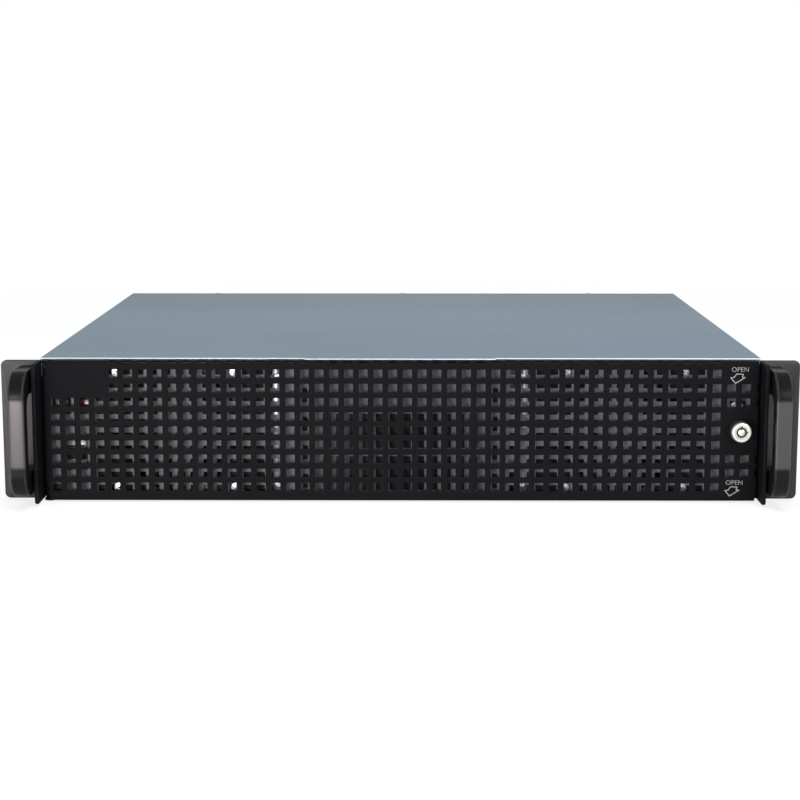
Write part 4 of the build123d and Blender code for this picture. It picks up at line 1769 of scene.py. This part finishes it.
@dataclass(frozen=True)
class Studio:
    """The camera, the pale floor and the soft lights."""

    lens: float = 81.99
    camera_x: float = 6.4 * MM
    camera_back: float = 1088.0 * MM
    camera_up: float = 241.0 * MM
    tilt: float = 80.65
    swing: float = 0.34
    sensor: float = 36.0
    surround: float = 0.36  # strength of the soft grey light from all round
    floor_gloss: float = 0.35  # how much of the floor's glow gloss mirrors
    floor_drop: float = 0.4 * MM

    def build(self) -> None:
        """Sets up the whole studio."""
        self._camera()
        self._world()
        self._floor()
        warm, cool, pale = (1.0, 0.93, 0.91), (0.95, 0.98, 1.0), (0.96, 0.99, 1.0)
        self._lamp("key", (-0.50, -1.32, 0.06), (-0.2, -0.2, 0.04), (0.50, 0.10), 8.5, warm)
        self._lamp("top", (0.05, -0.35, 1.35), (0.0, -0.1, 0.0), (1.4, 1.4), 20.0, cool, False)
        self._lamp("fill", (0.62, -1.25, 0.42), (0.2, -0.2, 0.04), (0.45, 0.35), 4.5, pale)

    def _camera(self) -> None:
        """Stands the camera where the photograph was taken from."""
        ear_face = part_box("left_handle")[1][1]
        data = bpy.data.cameras.new("camera")
        data.lens = self.lens
        data.sensor_width = self.sensor
        data.clip_start = 0.01
        camera = bpy.data.objects.new("camera", data)
        camera.location = (self.camera_x, ear_face - self.camera_back, self.camera_up)
        camera.rotation_euler = (math.radians(self.tilt), 0.0, math.radians(self.swing))
        bpy.context.scene.collection.objects.link(camera)
        bpy.context.scene.camera = camera

    def _world(self) -> None:
        """Makes the surroundings white to the camera and to gloss, and soft grey as a light."""
        world = bpy.data.worlds.new("studio")
        bpy.context.scene.world = world
        world.use_nodes = True
        tree = world.node_tree
        tree.nodes.clear()
        out = add_node(tree, "OutputWorld")
        dim = add_node(tree, "Background", Color=(0.93, 0.97, 1.0), Strength=self.surround)
        bright = add_node(tree, "Background", Color=(1.0, 1.0, 1.0), Strength=1.0)
        path = add_node(tree, "LightPath")
        seen = math_node(tree, "ADD", path.outputs["Is Camera Ray"], path.outputs["Is Transmission Ray"])
        ceiling = tree.nodes.new("ShaderNodeMapRange")
        height = tree.nodes.new("ShaderNodeSeparateXYZ")
        tree.links.new(tree.nodes.new("ShaderNodeTexCoord").outputs["Generated"], height.inputs[0])
        tree.links.new(height.outputs["Z"], ceiling.inputs["Value"])
        for label, value in (("From Min", 0.18), ("From Max", 0.55), ("To Min", 1.0), ("To Max", 0.12)):
            ceiling.inputs[label].default_value = value
        shine = math_node(tree, "MULTIPLY", path.outputs["Is Glossy Ray"], ceiling.outputs[0])
        total = math_node(tree, "MINIMUM", math_node(tree, "ADD", seen, shine), 1.0)
        tree.links.new(mix_shaders(tree, total, dim, bright).outputs[0], out.inputs["Surface"])

    def _seen(self, tree: bpy.types.NodeTree) -> bpy.types.NodeSocket:
        """Makes the factor that is 1 for what the camera sees, and lower for what gloss mirrors.

        Args:
            tree: the floor's tree.

        Returns:
            The factor's socket.
        """
        path = add_node(tree, "LightPath")
        mirrored = math_node(tree, "MULTIPLY", path.outputs["Is Glossy Ray"], self.floor_gloss)
        total = math_node(tree, "ADD", path.outputs["Is Camera Ray"], mirrored)
        total = math_node(tree, "ADD", total, path.outputs["Is Transmission Ray"])
        return math_node(tree, "MINIMUM", total, 1.0)

    def _floor(self) -> None:
        """Lays the pale floor, which keeps the case's soft shadow."""
        work = bmesh.new()
        bmesh.ops.create_grid(work, x_segments=1, y_segments=1, size=6.0)
        work.transform(Matrix.Translation((0, 0, CAD_BOX[0][2] - self.floor_drop)))
        material = bpy.data.materials.new("studio_floor")
        material.use_nodes = True
        tree = material.node_tree
        tree.nodes.clear()
        out = add_node(tree, "OutputMaterial")
        plain = add_node(tree, "BsdfDiffuse", Color=(0.80, 0.80, 0.80))
        shown = add_node(tree, "BsdfDiffuse", Color=(0.27, 0.27, 0.27))
        glow = add_node(tree, "Emission", Color=(1.0, 1.0, 1.0), Strength=0.78)
        far_glow = add_node(tree, "Emission", Color=(1.0, 1.0, 1.0))
        away = add_node(tree, "VectorMath")
        away.operation = "LENGTH"
        tree.links.new(add_node(tree, "TexCoord").outputs["Object"], away.inputs[0])
        fade = add_node(tree, "MapRange", Value=away.outputs["Value"], From_Min=0.45, From_Max=1.3)
        fade.interpolation_type = "SMOOTHSTEP"
        both = add_node(tree, "AddShader")
        tree.links.new(shown.outputs[0], both.inputs[0])
        tree.links.new(glow.outputs[0], both.inputs[1])
        blend = mix_shaders(tree, fade.outputs[0], both, far_glow)
        mix = mix_shaders(tree, self._seen(tree), plain, blend)
        tree.links.new(mix.outputs[0], out.inputs["Surface"])
        to_object("floor", work, material)

    def _lamp(
        self, name: str, place: Sequence[float], aim: Sequence[float], size: Span, power: float,
        colour: Colour, shown: bool = True,
    ) -> None:
        """Hangs a soft light.

        Args:
            name: the light's name.
            place: where it hangs.
            aim: the point that it faces.
            size: its width and height, in metres.
            power: its power, in watts.
            colour: its colour.
            shown: whether glossy surfaces mirror it.
        """
        data = bpy.data.lights.new(name, "AREA")
        data.shape = "RECTANGLE"
        data.size, data.size_y = size
        data.energy = power
        data.color = colour
        lamp = bpy.data.objects.new(name, data)
        lamp.visible_glossy = shown
        lamp.location = place
        lamp.rotation_euler = (Vector(aim) - Vector(place)).to_track_quat("-Z", "Y").to_euler()
        bpy.context.scene.collection.objects.link(lamp)


def main() -> None:
    """Builds the studio and every sub-assembly of the case."""
    logging.basicConfig(level=logging.INFO, format="%(name)s: %(message)s")
    bpy.context.scene.view_settings.view_transform = "Standard"
    Studio().build()
    kit = ShaderKit(grain_group(), tone_group(), wear_group(), band_group())
    bench = Bench({name: finish.material(name, kit) for name, finish in FINISHES.items()})
    SheetMetal().build(bench)
    RackFront().build(bench)
    DoorPan().build(bench)
    FanGuards().build(bench)
    EndFacings().build(bench)
    CentrePlate().build(bench)
    for side in Side:
        Fan().build(bench, side)
    Screws().build(bench)
    CamLock().build(bench)
    DoorMarks().build(bench)
    ThumbScrews().build(bench)


if __name__ == "__main__":
    main()
